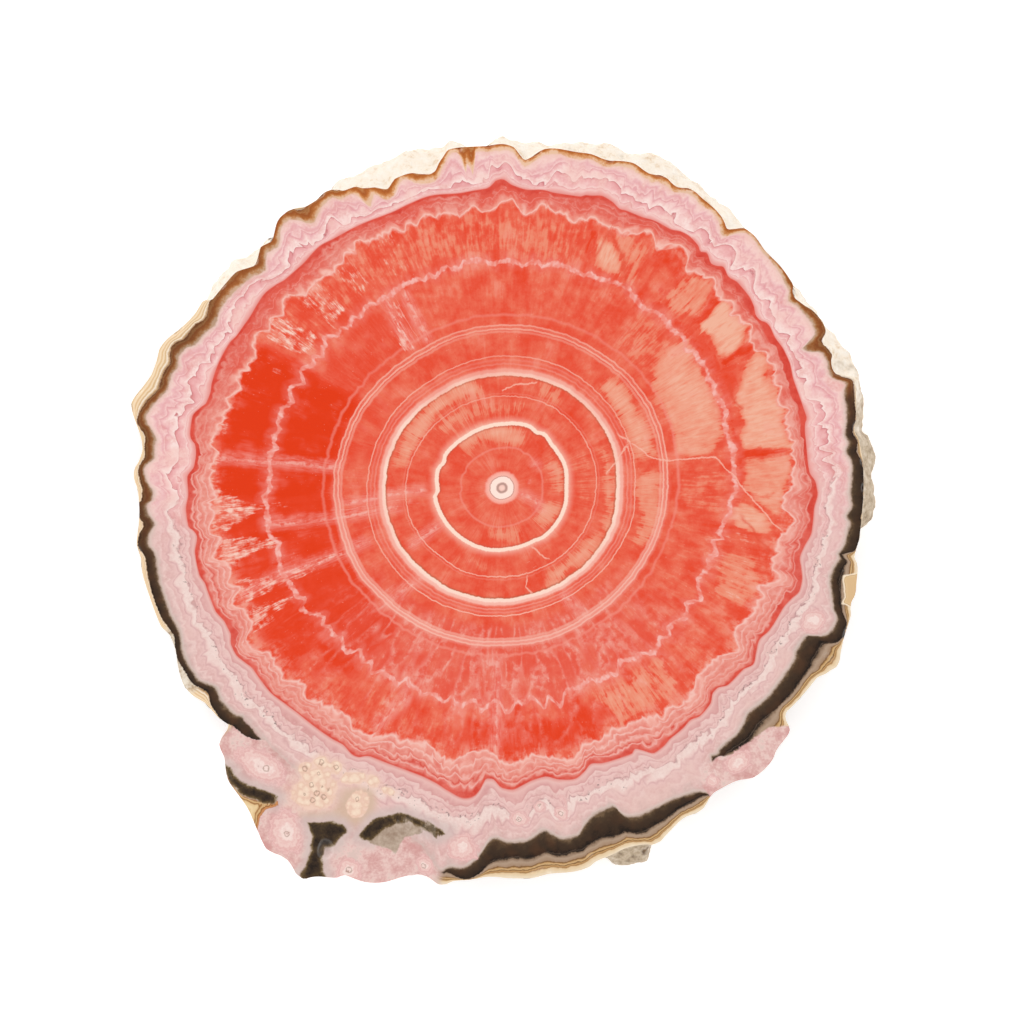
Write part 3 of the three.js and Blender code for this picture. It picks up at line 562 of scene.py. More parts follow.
# cracks and veins: lines through points of angle and distance
CRACKS = [
    polar([(26, 15.8), (20, 16.8), (15, 18.1), (11.5, 19.0), (10, 20.0), (9.5, 21.2), (8.7, 23.8),
           (8.5, 26.9), (3, 29.0), (0, 30.2), (357, 31.5), (355, 32.8), (352, 34.4), (351, 35.6)]),
    polar([(19.5, 16.6), (15.5, 15.4), (8, 13.1)]),
    polar([(89.5, 12.3), (80, 13.2), (72, 14.0)]),
    polar([(297, 7.9), (300, 9.4), (303, 10.8)]), polar([(286, 11.4), (284, 12.8), (286, 14.0)])]
RED_CRACKS = [polar([(24, 31.6), (20.5, 31.2), (17, 32.0)]), polar([(69, 30.6), (66.6, 34.8), (60, 30.6)]),
              polar([(354, 30.2), (349, 33.0), (346, 35.6)]), polar([(66.6, 34.8), (57, 29.6)])]
VEINS = [[(201.5, 17.5), (202, 24.0), (201, 30.0), (203, 36.0)], [(190.5, 12.5), (190, 21.0), (189, 30.0)],
         [(172.5, 20.0), (173.5, 28.0), (174, 36.0)], [(268, 20.5), (268.5, 27.0), (268.6, 33.4)],
         [(117, 20.6), (116.6, 27.5)], [(122, 20.6), (122.4, 27.5)], [(35, 4.4), (35, 6.2)],
         [(345, 2.0), (340, 4.5), (325, 6.0)], [(180, 9.0), (186, 20.0)], [(210, 8.4), (212, 14.0)],
         [(228, 15.0), (224, 22.0)], [(300, 14.8), (303, 20.0)], [(246, 28.0), (242, 34.0)]]

# %% [markdown]
# ## What every vertex knows
# The face, wall and back share one set of fields, stored three to a vector attribute. They change slowly
# from vertex to vertex, so they survive the gaps between vertices, and the material draws sharp lines.

# %% Fields
TONE_SOFT, WINDOW_SOFT, STREAK_SOFT = 1.5, 0.8, 0.8
LINE_ENDS, LINE_REACH, LINE_FADE, LINE_FAR = 0.03, 1.9, 0.3, 2


def soft_box(degrees, out, box, soft):
    """1 inside a range of angle and distance, falling to 0 over a soft margin on its sides."""
    start, stop, near, far = box[:4]
    half = ((stop - start) % 360) / 2
    off = np.abs((degrees - start - half + 180) % 360 - 180)
    if len(box) > 5:
        half = half * (1 - box[5] * np.clip((far - out) / (far - near), 0, 1))
    across = np.clip((half - off) * np.radians(1) * out / soft + 0.5, 0, 1)
    return across * np.clip((out - near) / soft + 0.5, 0, 1) * np.clip((far - out) / soft + 0.5, 0, 1)


def features(x, y):
    """All fields that depend on the place alone, by name."""
    out = np.hypot(x, y)
    degrees = np.degrees(np.arctan2(y, x)) % 360
    field = {}
    tone = np.zeros_like(x)
    for box in TONE_PATCHES:
        share = soft_box(degrees, out, box, TONE_SOFT)
        tone = tone * (1 - share) + share * box[4]
    for outline, value in PEACH_WINDOWS:
        share = np.clip(inside_outline(x, y, outline) / WINDOW_SOFT + 0.5, 0, 1)
        tone = tone * (1 - share) + share * value
    field["tone"] = tone
    for name, boxes in (("plume", PLUMES), ("deep", DEEP_STREAKS)):
        field[name] = np.max([box[4] * soft_box(degrees, out, box, STREAK_SOFT) for box in boxes], axis=0)
    for name, lines in (("crack", CRACKS), ("red_crack", RED_CRACKS), ("vein", [polar(v) for v in VEINS])):
        best, signed, here = np.full_like(x, 1e9), np.zeros_like(x), np.zeros_like(x)
        for points in lines:
            away, side, along = to_line(x, y, points)
            ends = np.clip(np.minimum(along, 1 - along) / LINE_ENDS, 0, 1)
            closer = away < best
            signed = np.where(closer, np.clip(away, 0, LINE_FAR) * side, signed)
            here = np.where(closer, np.clip((LINE_REACH - away) / LINE_FADE, 0, 1) * ends, here)
            best = np.where(closer, away, best)
        field[name], field[name + "_here"] = signed, here
    field["pink_growth"] = np.min([oval(x, y, *g) for g in PINK_GROWTHS], axis=0)
    field["cream_growth"] = np.min([oval(x, y, *g) for g in CREAM_GROWTHS], axis=0)
    field["dark_patch"] = np.max([inside_outline(x, y, p) for p in DARK_PATCHES], axis=0)
    field["beige_patch"] = np.max([inside_outline(x, y, p) for p in BEIGE_PATCHES], axis=0)
    field["beige_halo"] = inside_outline(x, y, BEIGE_HALO)
    field["tan_patch"] = inside_outline(x, y, TAN_PATCH)
    field["ring_pit"] = np.min([np.hypot(x - px, y - py) / r for px, py, r in RING_PITS], axis=0)
    field["spur"] = inside_outline(x, y, SPUR)
    field["pale_box"] = inside_outline(x, y, PALE_BOX)
    return field


# %% [markdown]
# ## The hollows
# Where small growths met they left gaps. A polished face keeps such a gap as a little pit with crystals
# in it, so the pits are pressed into the mesh itself rather than painted.

# %% Face height
CRYSTAL_HEIGHT, CRYSTAL_SIZE = 0.35, 0.5
TINY_DEPTH, TINY_RADII = 0.25, (0.3, 0.3)
face_x, face_y = face_out * np.cos(turn), face_out * np.sin(turn)
pit = np.zeros_like(face_x)
for middle, radii, depth in HOLLOWS:
    bowl = np.clip(1 - oval(face_x, face_y, middle, radii) ** 2, 0, 1)
    crystals = CRYSTAL_HEIGHT * rough(face_x, face_y, 0 * face_x, CRYSTAL_SIZE, 2)
    pit = np.maximum(pit, depth * bowl * (1 + crystals))
for middle in TINY_HOLES:
    pit = np.maximum(pit, TINY_DEPTH * np.clip(1 - oval(face_x, face_y, middle, TINY_RADII) ** 2, 0, 1))
print(f"the deepest hollow is {pit.max():.2f} mm deep")

# %% [markdown]
# The saw and the polish chip the brittle rind here and there, just inside the edge of the face.

# %% Chips along the edge
CHIPPED, CHIP_SIZE, CHIP_RARE, CHIP_WIDTH = 0.9, 1.1, 0.25, 0.5
chips = np.clip(rough(face_x, face_y, 0 * face_x, CHIP_SIZE, 3) - CHIP_RARE, 0, 1)
near_edge = np.clip(1 - (FACE_EDGE - face_out) / CHIP_WIDTH, 0, 1) ** 2
face_z = THICKNESS - pit - CHIPPED * chips * near_edge * (face_growth < GROWN)[:, None]

# %% Put the rows together
back_z = np.zeros_like(back_out)
wall_growth = np.full(len(WALL_DOWN), GROWN)
all_out = np.concatenate([face_out, wall_out, back_out])
all_z = np.concatenate([face_z, wall_z, back_z])
all_growth = np.concatenate([face_growth, wall_growth, back_growth])[:, None] + 0 * turn
x, y = all_out * np.cos(turn), all_out * np.sin(turn)
rows = len(all_out)

quads = np.arange(rows - 1)[:, None] * STEPS_AROUND + np.arange(STEPS_AROUND)
beside = np.arange(rows - 1)[:, None] * STEPS_AROUND + (np.arange(STEPS_AROUND) + 1) % STEPS_AROUND
quads = np.stack([quads, quads + STEPS_AROUND, beside + STEPS_AROUND, beside], axis=-1).reshape(-1, 4)
first_ring, last_ring = np.arange(STEPS_AROUND), (rows - 1) * STEPS_AROUND + np.arange(STEPS_AROUND)
face_middle, back_middle = rows * STEPS_AROUND, rows * STEPS_AROUND + 1
face_fan = np.stack([np.full(STEPS_AROUND, face_middle), first_ring, np.roll(first_ring, -1)], axis=-1)
back_fan = np.stack([last_ring, np.full(STEPS_AROUND, back_middle), np.roll(last_ring, -1)], axis=-1)

points = np.concatenate([np.stack([x, y, all_z], axis=-1).reshape(-1, 3), [[0, 0, THICKNESS], [0, 0, 0]]])
mesh = bpy.data.meshes.new("banded_slice")
mesh.from_pydata((points * MM).tolist(), [], quads.tolist() + face_fan.tolist() + back_fan.tolist())
mesh.polygons.foreach_set("use_smooth", np.ones(len(mesh.polygons), bool))
print(f"{len(mesh.vertices)} vertices, {2 * len(quads) + 2 * STEPS_AROUND} triangles")

# %% [markdown]
# The sawn edges are sharp, so the smooth shading stops there: every edge that has both its ends on the
# last row of the face, or on the first row of the back, is marked.

# %% Sharp sawn edges
ends = np.zeros(len(mesh.edges) * 2, int)
mesh.edges.foreach_get("vertices", ends)
row_of_end = ends.reshape(-1, 2) // STEPS_AROUND
sharp = np.zeros(len(mesh.edges), bool)
for row in (len(face_growth) - 1, len(face_growth) + len(WALL_DOWN)):
    sharp |= (row_of_end == row).all(axis=1)
mesh.attributes.new("sharp_edge", "BOOLEAN", "EDGE").data.foreach_set("value", sharp)

# %% [markdown]
# ## The rind, angle by angle
# Along the edge a dark iron and manganese layer follows the pink, then thin brown and tan layers, and
# last the cream crust or the host rock. How thick and how dark the layer is changes round the stone.

# %% The rind's tables
DARKNESS = around({
    0: 1.0, 14: 0.9, 17: 0.6, 25: 0.55, 33: 0.4, 40: 0.3, 48: 0.15, 60: 0.15, 80: 0.05, 100: 0.05,
    117: 0.15, 125: 0.3, 140: 0.4, 149: 0.5, 155: 0.6, 165: 0.55, 175: 0.65, 185: 0.85, 205: 1.0, 330: 1.0,
    350: 1.0})
# 1 where tan and brown layers lie outside the dark one, 0 where the cream crust begins at once
LAYERED = around({
    0: 0.6, 14: 0.5, 20: 0.35, 40: 0.1, 60: 0.05, 115: 0.05, 125: 0.6, 132: 0.6, 138: 0.2, 147: 0.7,
    152: 1.0, 178: 1.0, 200: 1.0, 204: 0.3, 212: 0.3, 216: 0.9, 224: 0.9, 262: 1.0, 304: 1.0,
    308: 1.0, 340: 1.0, 347: 0.6, 352: 0.7})
LOBE = np.clip((DEGREES - 221.2) / 0.8, 0, 1) * np.clip((261.5 - DEGREES) / 1.5, 0, 1)
# 1 where the crust is grey host rock, 0 where it is cream calcite
GREYNESS = around({
    0: 0.9, 8: 0.8, 16: 0.45, 22: 0.2, 60: 0.1, 200: 0.3, 205: 0.8, 214: 0.6, 225: 0.3, 283: 0.5,
    285: 1.0, 293: 1.0, 295: 0.4, 345: 0.5, 352: 0.9})

# how pale the waves between spar and red line are, how grey the pink is, and how wide the red line is
PALE_WAVES = around({
    0: 0.6, 10: 0.45, 30: 0.3, 45: 0.45, 62: 0.45, 80: 0.35, 90: 0.15, 100: 0.45, 118: 0.35, 130: 0.4,
    150: 0.3, 160: 0.35, 170: 0.45, 185: 0.85, 200: 0.8, 215: 0.8, 230: 0.95, 250: 1.0, 290: 1.0, 310: 0.9,
    330: 0.8, 345: 0.7, 355: 0.6})
GREYED = around({
    0: 0.45, 8: 0.2, 20: 0.05, 50: 0.0, 165: 0.0, 180: 0.25, 190: 0.7, 200: 0.95, 215: 1.0, 335: 1.0,
    345: 0.8, 355: 0.55})
RED_WIDE = around({
    0: 0.7, 14: 0.9, 25: 1.2, 32: 1.0, 45: 0.9, 60: 0.6, 75: 0.5, 90: 0.9, 95: 0.6, 115: 0.6, 140: 0.5,
    155: 0.5, 175: 0.7, 192: 0.6, 200: 0.3, 208: 0.9, 216: 0.4, 230: 0.4, 250: 0.4, 262: 0.6, 280: 0.5,
    295: 0.6, 305: 0.5, 316: 0.4, 330: 0.5, 341: 0.8, 352: 0.7})

# %% [markdown]
# No outline in a stone is as smooth as a few points make it. So the features are read at places that
# noise has moved: far for soft tones, a little for growths, patches and pale cracks.


# %% The fields that depend on the place
def moved_features(amount, size):
    """The features at every vertex, moved by lattice noise of this size, at most by this amount."""
    return features(x + amount * rough(x, y, 0 * x, size), y + amount * rough(y, x, 0 * x + 9, size))


MOVED_FAR = ("tone", "plume", "deep", "red_crack", "red_crack_here")
far, little = moved_features(1.2, 3.6), moved_features(0.3, 1.6)
fields = {name: (far if name in MOVED_FAR else little)[name] for name in far}

# %% The fields that depend on the angle or the row
BLUR_STEPS = range(-14, 15)
same_on_all_rows = {
    "darkness": DARKNESS, "layered": LAYERED, "lobe": LOBE, "greyness": GREYNESS, "pale_waves": PALE_WAVES,
    "greyed": GREYED, "red_wide": RED_WIDE}
for name, value in (("covered", covered), ("lobe_wall", LOBE), ("grey_wall", GREYNESS)):
    same_on_all_rows[name] = np.mean([np.roll(value, step) for step in BLUR_STEPS], axis=0)
for name, value in same_on_all_rows.items():
    fields[name] = value + np.zeros((rows, 1))
fields["growth"] = all_growth
fields["rim"] = all_out - OUT[-2]
fields["past_dark"] = all_out - OUT[-2] - DARK_THICK
fields["to_edge"] = FACE_EDGE - all_out
row_number = np.arange(rows)[:, None] + 0 * turn
fields["polished"] = (row_number < len(face_growth)) * 1.0
fields["sawn"] = (row_number >= len(face_growth) + len(WALL_DOWN)) * 1.0
fields["pit"] = np.concatenate([pit, 0 * wall_out, 0 * back_out])

# %% Write the fields
# values at the middles of the face and the back, where they aren't the mean of the row next to it
MIDDLES = {"growth": (0, 0), "polished": (1, 0), "sawn": (0, 1), "to_edge": (45, 45)}
IN_ONE = 3
field_names = list(fields)
columns = []
for name, value in fields.items():
    means = value[0, :].mean(), value[-1, :].mean()
    columns.append(np.concatenate([value.ravel(), MIDDLES.get(name, means)]))
for first in range(0, len(fields), IN_ONE):
    three = np.zeros((len(mesh.vertices), IN_ONE), np.float32)
    for part, value in enumerate(columns[first:first + IN_ONE]):
        three[:, part] = value
    made = mesh.attributes.new(f"fields_{first // IN_ONE}", "FLOAT_VECTOR", "POINT")
    made.data.foreach_set("vector", three.ravel())
print(f"{len(fields)} fields: {', '.join(fields)}")

# %% [markdown]
# ## Shader maths as Python
# A node tree is arithmetic on sockets. This class lets Python write it: `+`, `-`, `*` and `/` on a
# wrapped socket add Math nodes, and one method adds every other kind of node.


# %% A socket that can be calculated with
class Wire:
    """One output socket of a material's node tree."""

    def __init__(self, socket):
        self.socket = socket
        self.tree = socket.id_data

    def node(self, kind, settings=None, sockets=None, out=0):
        """Adds a node: its settings first, then values or links into its sockets; gives one output."""
        made = self.tree.nodes.new("ShaderNode" + kind)
        for name, value in (settings or {}).items():
            setattr(made, name, value)
        for name, value in (sockets or {}).items():
            if isinstance(value, Wire):
                self.tree.links.new(value.socket, made.inputs[name])
            else:
                made.inputs[name].default_value = value
        return Wire(made.outputs[out])

    def math(self, operation, *others):
        """A Math node with this socket first."""
        return self.node("Math", {"operation": operation}, dict(enumerate((self, *others))))

    def __add__(self, other):
        return self.math("ADD", other)

    def __mul__(self, other):
        return self.math("MULTIPLY", other)

    def __sub__(self, other):
        return self.math("SUBTRACT", other)

    def __truediv__(self, other):
        return self.math("DIVIDE", other)

    def __rsub__(self, other):
        return self * -1.0 + other

    __radd__ = __add__
    __rmul__ = __mul__

    def rise(self, low, high):
        """0 below low, 1 above high and a smooth step between; falls instead where low is above high."""
        return self.node("MapRange", {"interpolation_type": "SMOOTHSTEP"},
                         {"Value": self, "From Min": low, "From Max": high})

    def line(self, middle, half):
        """1 at a value, falling evenly to 0 at a half-width on each side."""
        away = (self - middle).math("ABSOLUTE") / half
        return (1.0 - away).math("MAXIMUM", 0.0)

    def mix(self, a, b):
        """Colour a where this is 0 and b where it is 1."""
        return self.node("Mix", {"data_type": "RGBA"}, {0: self, 6: a, 7: b}, out=2)


def paint(red, green, blue, alpha=1.0):
    """A colour given as on a screen, 0 to 255, as the linear colour that shaders take."""
    s = np.array([red, green, blue]) / 255
    linear = np.where(s <= 0.04045, s / 12.92, ((s + 0.055) / 1.055) ** 2.4)
    return (*linear.tolist(), alpha)


def ramp(stops, factor):
    """The colour at a factor between stops of (factor, red, green, blue) and, where wanted, alpha."""
    made = factor.node("ValToRGB", {}, {0: factor})
    elements = made.socket.node.color_ramp.elements
    while len(elements) < len(stops):
        elements.new(0.5)
    for element, (position, *_) in zip(elements, stops):
        element.position = position
    for element, (_, *colour) in zip(elements, stops):
        element.color = paint(*colour)
    return made


# %% [markdown]
# ## The stone's material
# The material starts from the fields and the object coordinates, in millimetres. Crystals grow away
# from the canal, so noise for them is read in a space that is stretched along the radius: the direction
# from the canal times a large number, and growth times a small one.

# %% Start the material
stone = bpy.data.materials.new("banded_rhodochrosite")
stone.use_nodes = True
tree = stone.node_tree
tree.nodes.clear()
output = tree.nodes.new("ShaderNodeOutputMaterial")
place = Wire(tree.nodes.new("ShaderNodeTexCoord").outputs["Object"])


packs = {}


def field(name):
    """One field: a third of the vector attribute that holds it."""
    number, part = divmod(field_names.index(name), IN_ONE)
    if number not in packs:
        three = place.node("Attribute", {"attribute_name": f"fields_{number}"}, out=1)
        packs[number] = place.node("SeparateXYZ", {}, {0: three})
    return Wire(packs[number].socket.node.outputs[part])


in_mm = place.node("VectorMath", {"operation": "SCALE"}, {0: place, 3: 1000.0})
flat = place.node("VectorMath", {"operation": "MULTIPLY"}, {0: in_mm, 1: (1, 1, 0)})
heading = place.node("VectorMath", {"operation": "NORMALIZE"}, {0: flat})
growth = field("growth")


def grain_space(around_count, along, level=0.0):
    """The heading from the canal times a count, with growth times a share as the third coordinate."""
    turned = place.node("VectorMath", {"operation": "SCALE"}, {0: heading, 3: around_count})
    lifted = place.node("CombineXYZ", {}, {"Z": growth * along + level})
    return place.node("VectorMath", {"operation": "ADD"}, {0: turned, 1: lifted})


def noise(vector, scale=1.0, detail=2.0, roughness=0.5):
    """Fractal noise from 0 to 1, about 0.5 on average."""
    return place.node("TexNoise", {}, {"Vector": vector, "Scale": scale, "Detail": detail,
                                       "Roughness": roughness})


# %% [markdown]
# ### Rough growth
# The rings above already carry the large waves. Real ones are also nibbled at every smaller size, so
# each band reads growth with a little noise on it: slow noise bends it, quick noise frays it.


# %% Growth, with its small waves
waver = noise(grain_space(14.0, 0.25), 1.0, 1.0, 0.6) - 0.5
nibbles = noise(grain_space(48.0, 1.0), 1.0, 1.0, 0.7) - 0.5
folded = (noise(grain_space(17.0, 0.4, 7.0), 1.0, 1.0, 0.5) - 0.5).math("ABSOLUTE")
tips = (folded - 0.15).math("ABSOLUTE") - 0.08
drift = noise(grain_space(5.0, 0.3, 8.0), 1.0, 1.0, 0.5) - 0.5
grit = noise(in_mm, 3.4, 1.0, 0.7) - 0.5
mottle = noise(in_mm, 1.1, 2.0, 0.65)
mottled = mottle - 0.5
clouds = noise(in_mm, 0.3, 2.0, 0.6)
cloudy = clouds - 0.5
ragged = noise(in_mm, 1.35, 2.5, 0.65) - 0.5
low_side = place.node("SeparateXYZ", {}, {0: heading}, out=1)
inner_growth = growth + waver * 0.3 + nibbles * 0.16
third_growth = growth + nibbles * 0.6 + mottled * 0.7
past_tips = growth.rise(38.2, 37.2)
outer_growth = growth + (tips * 3.4 + nibbles * 0.5 + drift * 0.9) * past_tips + mottled * 0.2
band_middle = growth.rise(38.1, 39.2) * growth.rise(43.4, 42.6)
pink_growth = growth + (tips * 4.6 + nibbles * 0.35 + drift * 0.6) * band_middle

# %% [markdown]
# ### The crystals' own colour
# Between the rings the stone is clear red to peach spar, with radial fibres. Tone runs from deep red
# to peach: the patches say where, and noise frays them into fibres and clouds.

# %% Spar
fibres = noise(grain_space(80.0, 0.5), 1.0, 1.0, 0.6)
fibrous = fibres - 0.5
sheaves = noise(grain_space(20.0, 0.2, 5.0), 1.0, 1.5, 0.5)
bundled = sheaves - 0.5
streaks = noise(grain_space(115.0, 0.6, 9.0), 1.0, 2.0, 0.75)
streaky = streaks - 0.5
outer_spar = growth.rise(19.0, 30.0)
fray = bundled * 1.6 + mottled * 1.2 + fibrous * 1.4
patch = field("tone")
patch_here = (patch.math("ABSOLUTE") * 1.2 + fray * 0.8).rise(0.2, 0.65)
deep_here = (field("deep") + fray * 0.7).rise(0.3, 0.75)
shades = (cloudy * 1.4 + mottled * 0.8 + grit * 0.25
          + fibrous * (0.2 + outer_spar * 0.35) + bundled * (0.4 + outer_spar * 0.7))
tone = patch * patch_here + shades * (1.0 - patch.math("ABSOLUTE") * 0.45) - deep_here * 0.9 + (
    patch.math("MAXIMUM", 0.0) * (streaky * 1.1 + fibrous * 0.7))
spar = ramp([
    (0.0, 225, 56, 12), (0.2, 229, 66, 34), (0.36, 231, 84, 60),
    (0.48, 234, 106, 80), (0.64, 236, 134, 106), (0.82, 238, 158, 131),
    (1.0, 240, 178, 152)], tone * 0.42 + 0.43)

# %% Pale fibres, veins and haze
plume = field("plume")
frayed = (streaks * 1.1 + plume * 0.8 + mottled * 1.2 + bundled * 0.6).rise(0.95, 1.5)
plumes = frayed * plume.rise(0.04, 0.7)
veiled = ramp([
    (0.0, 235, 130, 108), (0.5, 239, 160, 142), (1.0, 248, 212, 196)],
    (streaks * 0.7 + mottle * 0.3).rise(0.36, 0.66))
veil = clouds.rise(0.5, 0.7) * (sheaves * 0.7 + fibres * 0.6).rise(0.5, 0.9)
hazy = (veil * 0.35).mix(spar, paint(241, 138, 124))
with_plumes = (plumes * 0.9).mix(hazy, veiled)
vein_place = field("vein") + mottled * 0.5 + ragged * 0.5
vein_here = field("vein_here")
vein_veil = vein_place.line(0.0, 1.25).rise(0.0, 0.8) * vein_here * (0.3 + streaky * 1.1 + ragged * 0.5)
vein_core = vein_place.line(0.1, 0.3) * vein_here * mottle.rise(0.42, 0.6)
with_veil = vein_veil.math("MAXIMUM", 0.0).mix(with_plumes, paint(244, 168, 156))
with_veins = (vein_core * 0.45).mix(with_veil, paint(248, 204, 192))

# %% [markdown]
# At the bottom the spar is split into small pink blocks with pale fissures between them. Where noise
# crosses its middle value it draws such a line, branching and fading like a real one.


# %% Pink blocks at the bottom
def fissures(count, length, width, level):
    """Pale lines where noise in grain space crosses its mean, thinner and thicker from place to place."""
    swing = noise(grain_space(count, length, level), 1.0, 1.0, 0.5) + mottled * 0.16
    return swing.line(0.5, width)


bottom_share = (low_side + waver * 0.3).rise(-0.45, -0.9)
cell_zone = growth.rise(17.2, 18.6) * growth.rise(34.6, 31.0) * bottom_share
inner_zone = growth.rise(29.4, 27.0)
cell_tint = (cell_zone * inner_zone * (0.1 + clouds * 0.5)).mix(with_veins, paint(228, 104, 90))
walls = fissures(12.0, 0.16, 0.08, 2.0)
wall_strength = (mottle * 2.4 - 0.7) * (0.5 + inner_zone * 0.3)
wisps = (streaks * 0.6 + mottle * 0.6 + clouds * 0.4).rise(0.84, 1.12) * inner_zone * 0.55
wall_cover = ((walls * wall_strength).math("MAXIMUM", 0.0) + wisps) * cell_zone
with_cells = wall_cover.math("MINIMUM", 0.8).mix(cell_tint, paint(241, 166, 152))

# %% [markdown]
# ### The ring tables
# A colour ramp holds the rings. Its stops are growth in millimetres and a colour, and alpha says how
# much of the spar the ring covers. One ramp holds only 256 steps and 32 stops, so there are several,
# each over its own stretch of growth.


# %% Ring tables
def ring_table(where, start, stop, stops):
    """Colour and cover of the rings between two growths, from (growth, colour with alpha) stops."""
    span = stop - start
    made = ramp([((g - start) / span, *colour) for g, *colour in stops], (where - start) / span)
    return made, Wire(made.socket.node.outputs["Alpha"])


def ring(middle, half, colour, cover, edge=0.08):
    """Four stops of one ring: nothing, its colour, its colour again, nothing."""
    return [(middle - half - edge, *colour, 0.0), (middle - half, *colour, cover),
            (middle + half, *colour, cover), (middle + half + edge, *colour, 0.0)]


CREAM = (253, 219, 200)
PALE = (246, 184, 166)
ROSE = (241, 146, 130)
canal_growth = growth + waver * 0.12 + nibbles * 0.14 * growth.rise(1.0, 6.0)
canal_colour, canal_cover = ring_table(canal_growth, 0.0, 9.6, [
    (0.0, 250, 208, 194), (0.3, 246, 200, 186), (0.5, 178, 138, 128),
    (0.66, 206, 164, 152), (0.76, 255, 226, 213), (1.38, 255, 226, 213), (1.47, 200, 134, 122),
    (1.58, 247, 184, 168), (1.95, 246, 164, 148), (2.2, 243, 146, 130, 0.0),
    *ring(5.05, 0.04, ROSE, 0.5, 0.16), (7.5, 196, 70, 48, 0.0), (7.75, 188, 90, 66, 0.55),
    (7.84, *CREAM), (8.24, *CREAM), (8.34, 247, 184, 166, 0.65), (9.2, 242, 134, 114, 0.0)])
inner_colour, inner_cover = ring_table(inner_growth + drift * 0.2, 9.6, 17.6, [
    *ring(11.6, 0.03, PALE, 0.75, 0.07), *ring(11.95, 0.04, ROSE, 0.3),
    (13.9, 170, 80, 50, 0.0), (14.1, 176, 96, 66, 0.6), (14.22, *CREAM),
    (14.54, 252, 212, 197), (14.68, 246, 184, 168, 0.95), (14.98, 246, 178, 162, 0.9),
    (15.1, 242, 152, 136, 0.6), (15.36, 238, 116, 96, 0.15), (15.56, 243, 160, 146, 0.65),
    (15.78, 238, 116, 96, 0.15), (16.05, 242, 152, 140, 0.5),
    (16.25, 238, 116, 96, 0.1), *ring(16.5, 0.03, PALE, 0.8, 0.08)])
double_colour, double_cover = ring_table(inner_growth, 17.6, 23.0, [
    *ring(19.62, 0.06, PALE, 0.45, 0.16), *ring(19.98, 0.06, PALE, 0.85, 0.1), (20.24, 240, 140, 124, 0.5),
    *ring(20.46, 0.05, PALE, 0.8, 0.1), *ring(21.75, 0.05, ROSE, 0.55, 0.22)])
strength = noise(grain_space(2.6, 0.2, 1.0), 1.0, 1.0, 0.6)
stronger = strength - 0.5
uneven = 0.5 + strength * 0.75 - low_side * 0.14
cream_inner = canal_cover * growth.rise(9.6, 9.5)
with_canal = cream_inner.mix(with_cells, canal_colour)
with_bold = (inner_cover * growth.rise(9.5, 9.6) * uneven).mix(with_canal, inner_colour)
bottom_double = (inner_growth.line(20.2, 0.75) * 1.4).math("MINIMUM", 1.0) * low_side.rise(0.25, -0.35) * 0.6
with_band_glow = bottom_double.mix(with_bold, paint(243, 164, 150))
with_inner = (double_cover * uneven).mix(with_band_glow, double_colour)

# %% [markdown]
# The third ring is a string of small pale lumps: a line whose width and strength both come from noise,
# inside a faint glow.

# %% The third ring
broken = noise(grain_space(40.0, 1.0, 4.0), 1.0, 1.5, 0.7)
third_body = third_growth.line(28.3, 0.46).rise(0.1, 0.7)
third_glow = growth.line(28.4, 1.4) * 0.35 * sheaves.rise(0.3, 0.6)
third_cover = (third_body * broken.rise(0.22, 0.52) * 0.85 + third_glow).math("MINIMUM", 0.9)
third_colour = broken.rise(0.42, 0.7).mix(paint(239, 146, 132), paint(246, 190, 180))
with_third = third_cover.mix(with_inner, third_colour)

# %% [markdown]
# Just inside its tips the spar is frosted, and fine pale specks lie all through it.

# %% Frost and specks
paleness = (field("pale_waves") + stronger * 0.8 + waver * 0.7).rise(0.3, 0.85)
frost_here = (sheaves * 0.8 + mottle * 0.9 + streaks * 0.5).rise(1.0, 1.3) * growth.rise(32.6, 35.0)
frosted = (frost_here * (0.15 + paleness * 0.5)).mix(with_third, paint(240, 164, 146))
sparkle = (grit + streaky * 0.35 + cloudy * 0.3).rise(0.2, 0.34) * growth.rise(15.0, 20.0)
with_sparkle = (sparkle * 0.35).mix(frosted, paint(243, 160, 142))

# %% [markdown]
# Where the clear spar ends, its crystal tips are outlined by pale waves, and a deep red line closes
# them off. On the lower side the waves are pale and many, on the upper side few and coral.

# %% Coral waves and the red line
coral_waves, coral_cover = ring_table(outer_growth, 34.4, 38.4, [
    (34.6, 238, 150, 134, 0.0), (34.88, 240, 156, 140, 0.85), (35.02, 245, 192, 178),
    (35.22, 240, 162, 146), (35.7, 233, 122, 104), (36.0, 228, 102, 86),
    (36.36, 224, 92, 76), (36.46, 236, 134, 120), (36.6, 224, 92, 76),
    (37.2, 222, 84, 68), (38.2, 226, 104, 92)])
pale_waves, _ = ring_table(outer_growth, 34.4, 38.4, [
    (34.5, 236, 140, 126, 0.0), (34.82, 241, 166, 152, 0.9), (35.0, 244, 194, 182),
    (35.25, 238, 160, 146), (35.6, 231, 138, 124), (35.76, 244, 194, 183),
    (35.96, 232, 146, 132), (36.36, 227, 124, 110), (36.54, 242, 184, 173),
    (36.7, 231, 140, 126), (36.88, 226, 118, 104), (37.0, 212, 72, 58),
    (37.12, 232, 138, 126), (37.26, 240, 178, 168), (37.4, 228, 124, 112),
    (38.2, 222, 104, 92)])
waves = paleness.mix(coral_waves, pale_waves)
tip_tone = (mottled * 1.6 + stronger * 1.6 + 0.35).rise(0.0, 1.0)
soft_waves = (tip_tone * 0.8 * outer_growth.rise(35.1, 35.5)).mix(waves, paleness.mix(
    paint(222, 92, 76), paint(233, 150, 135)))
rosy = ragged * 2.2 + mottled * 1.6 + grit * 1.0
lit_waves = (rosy.math("MAXIMUM", 0.0) * 0.35).mix(soft_waves, paint(247, 200, 188))
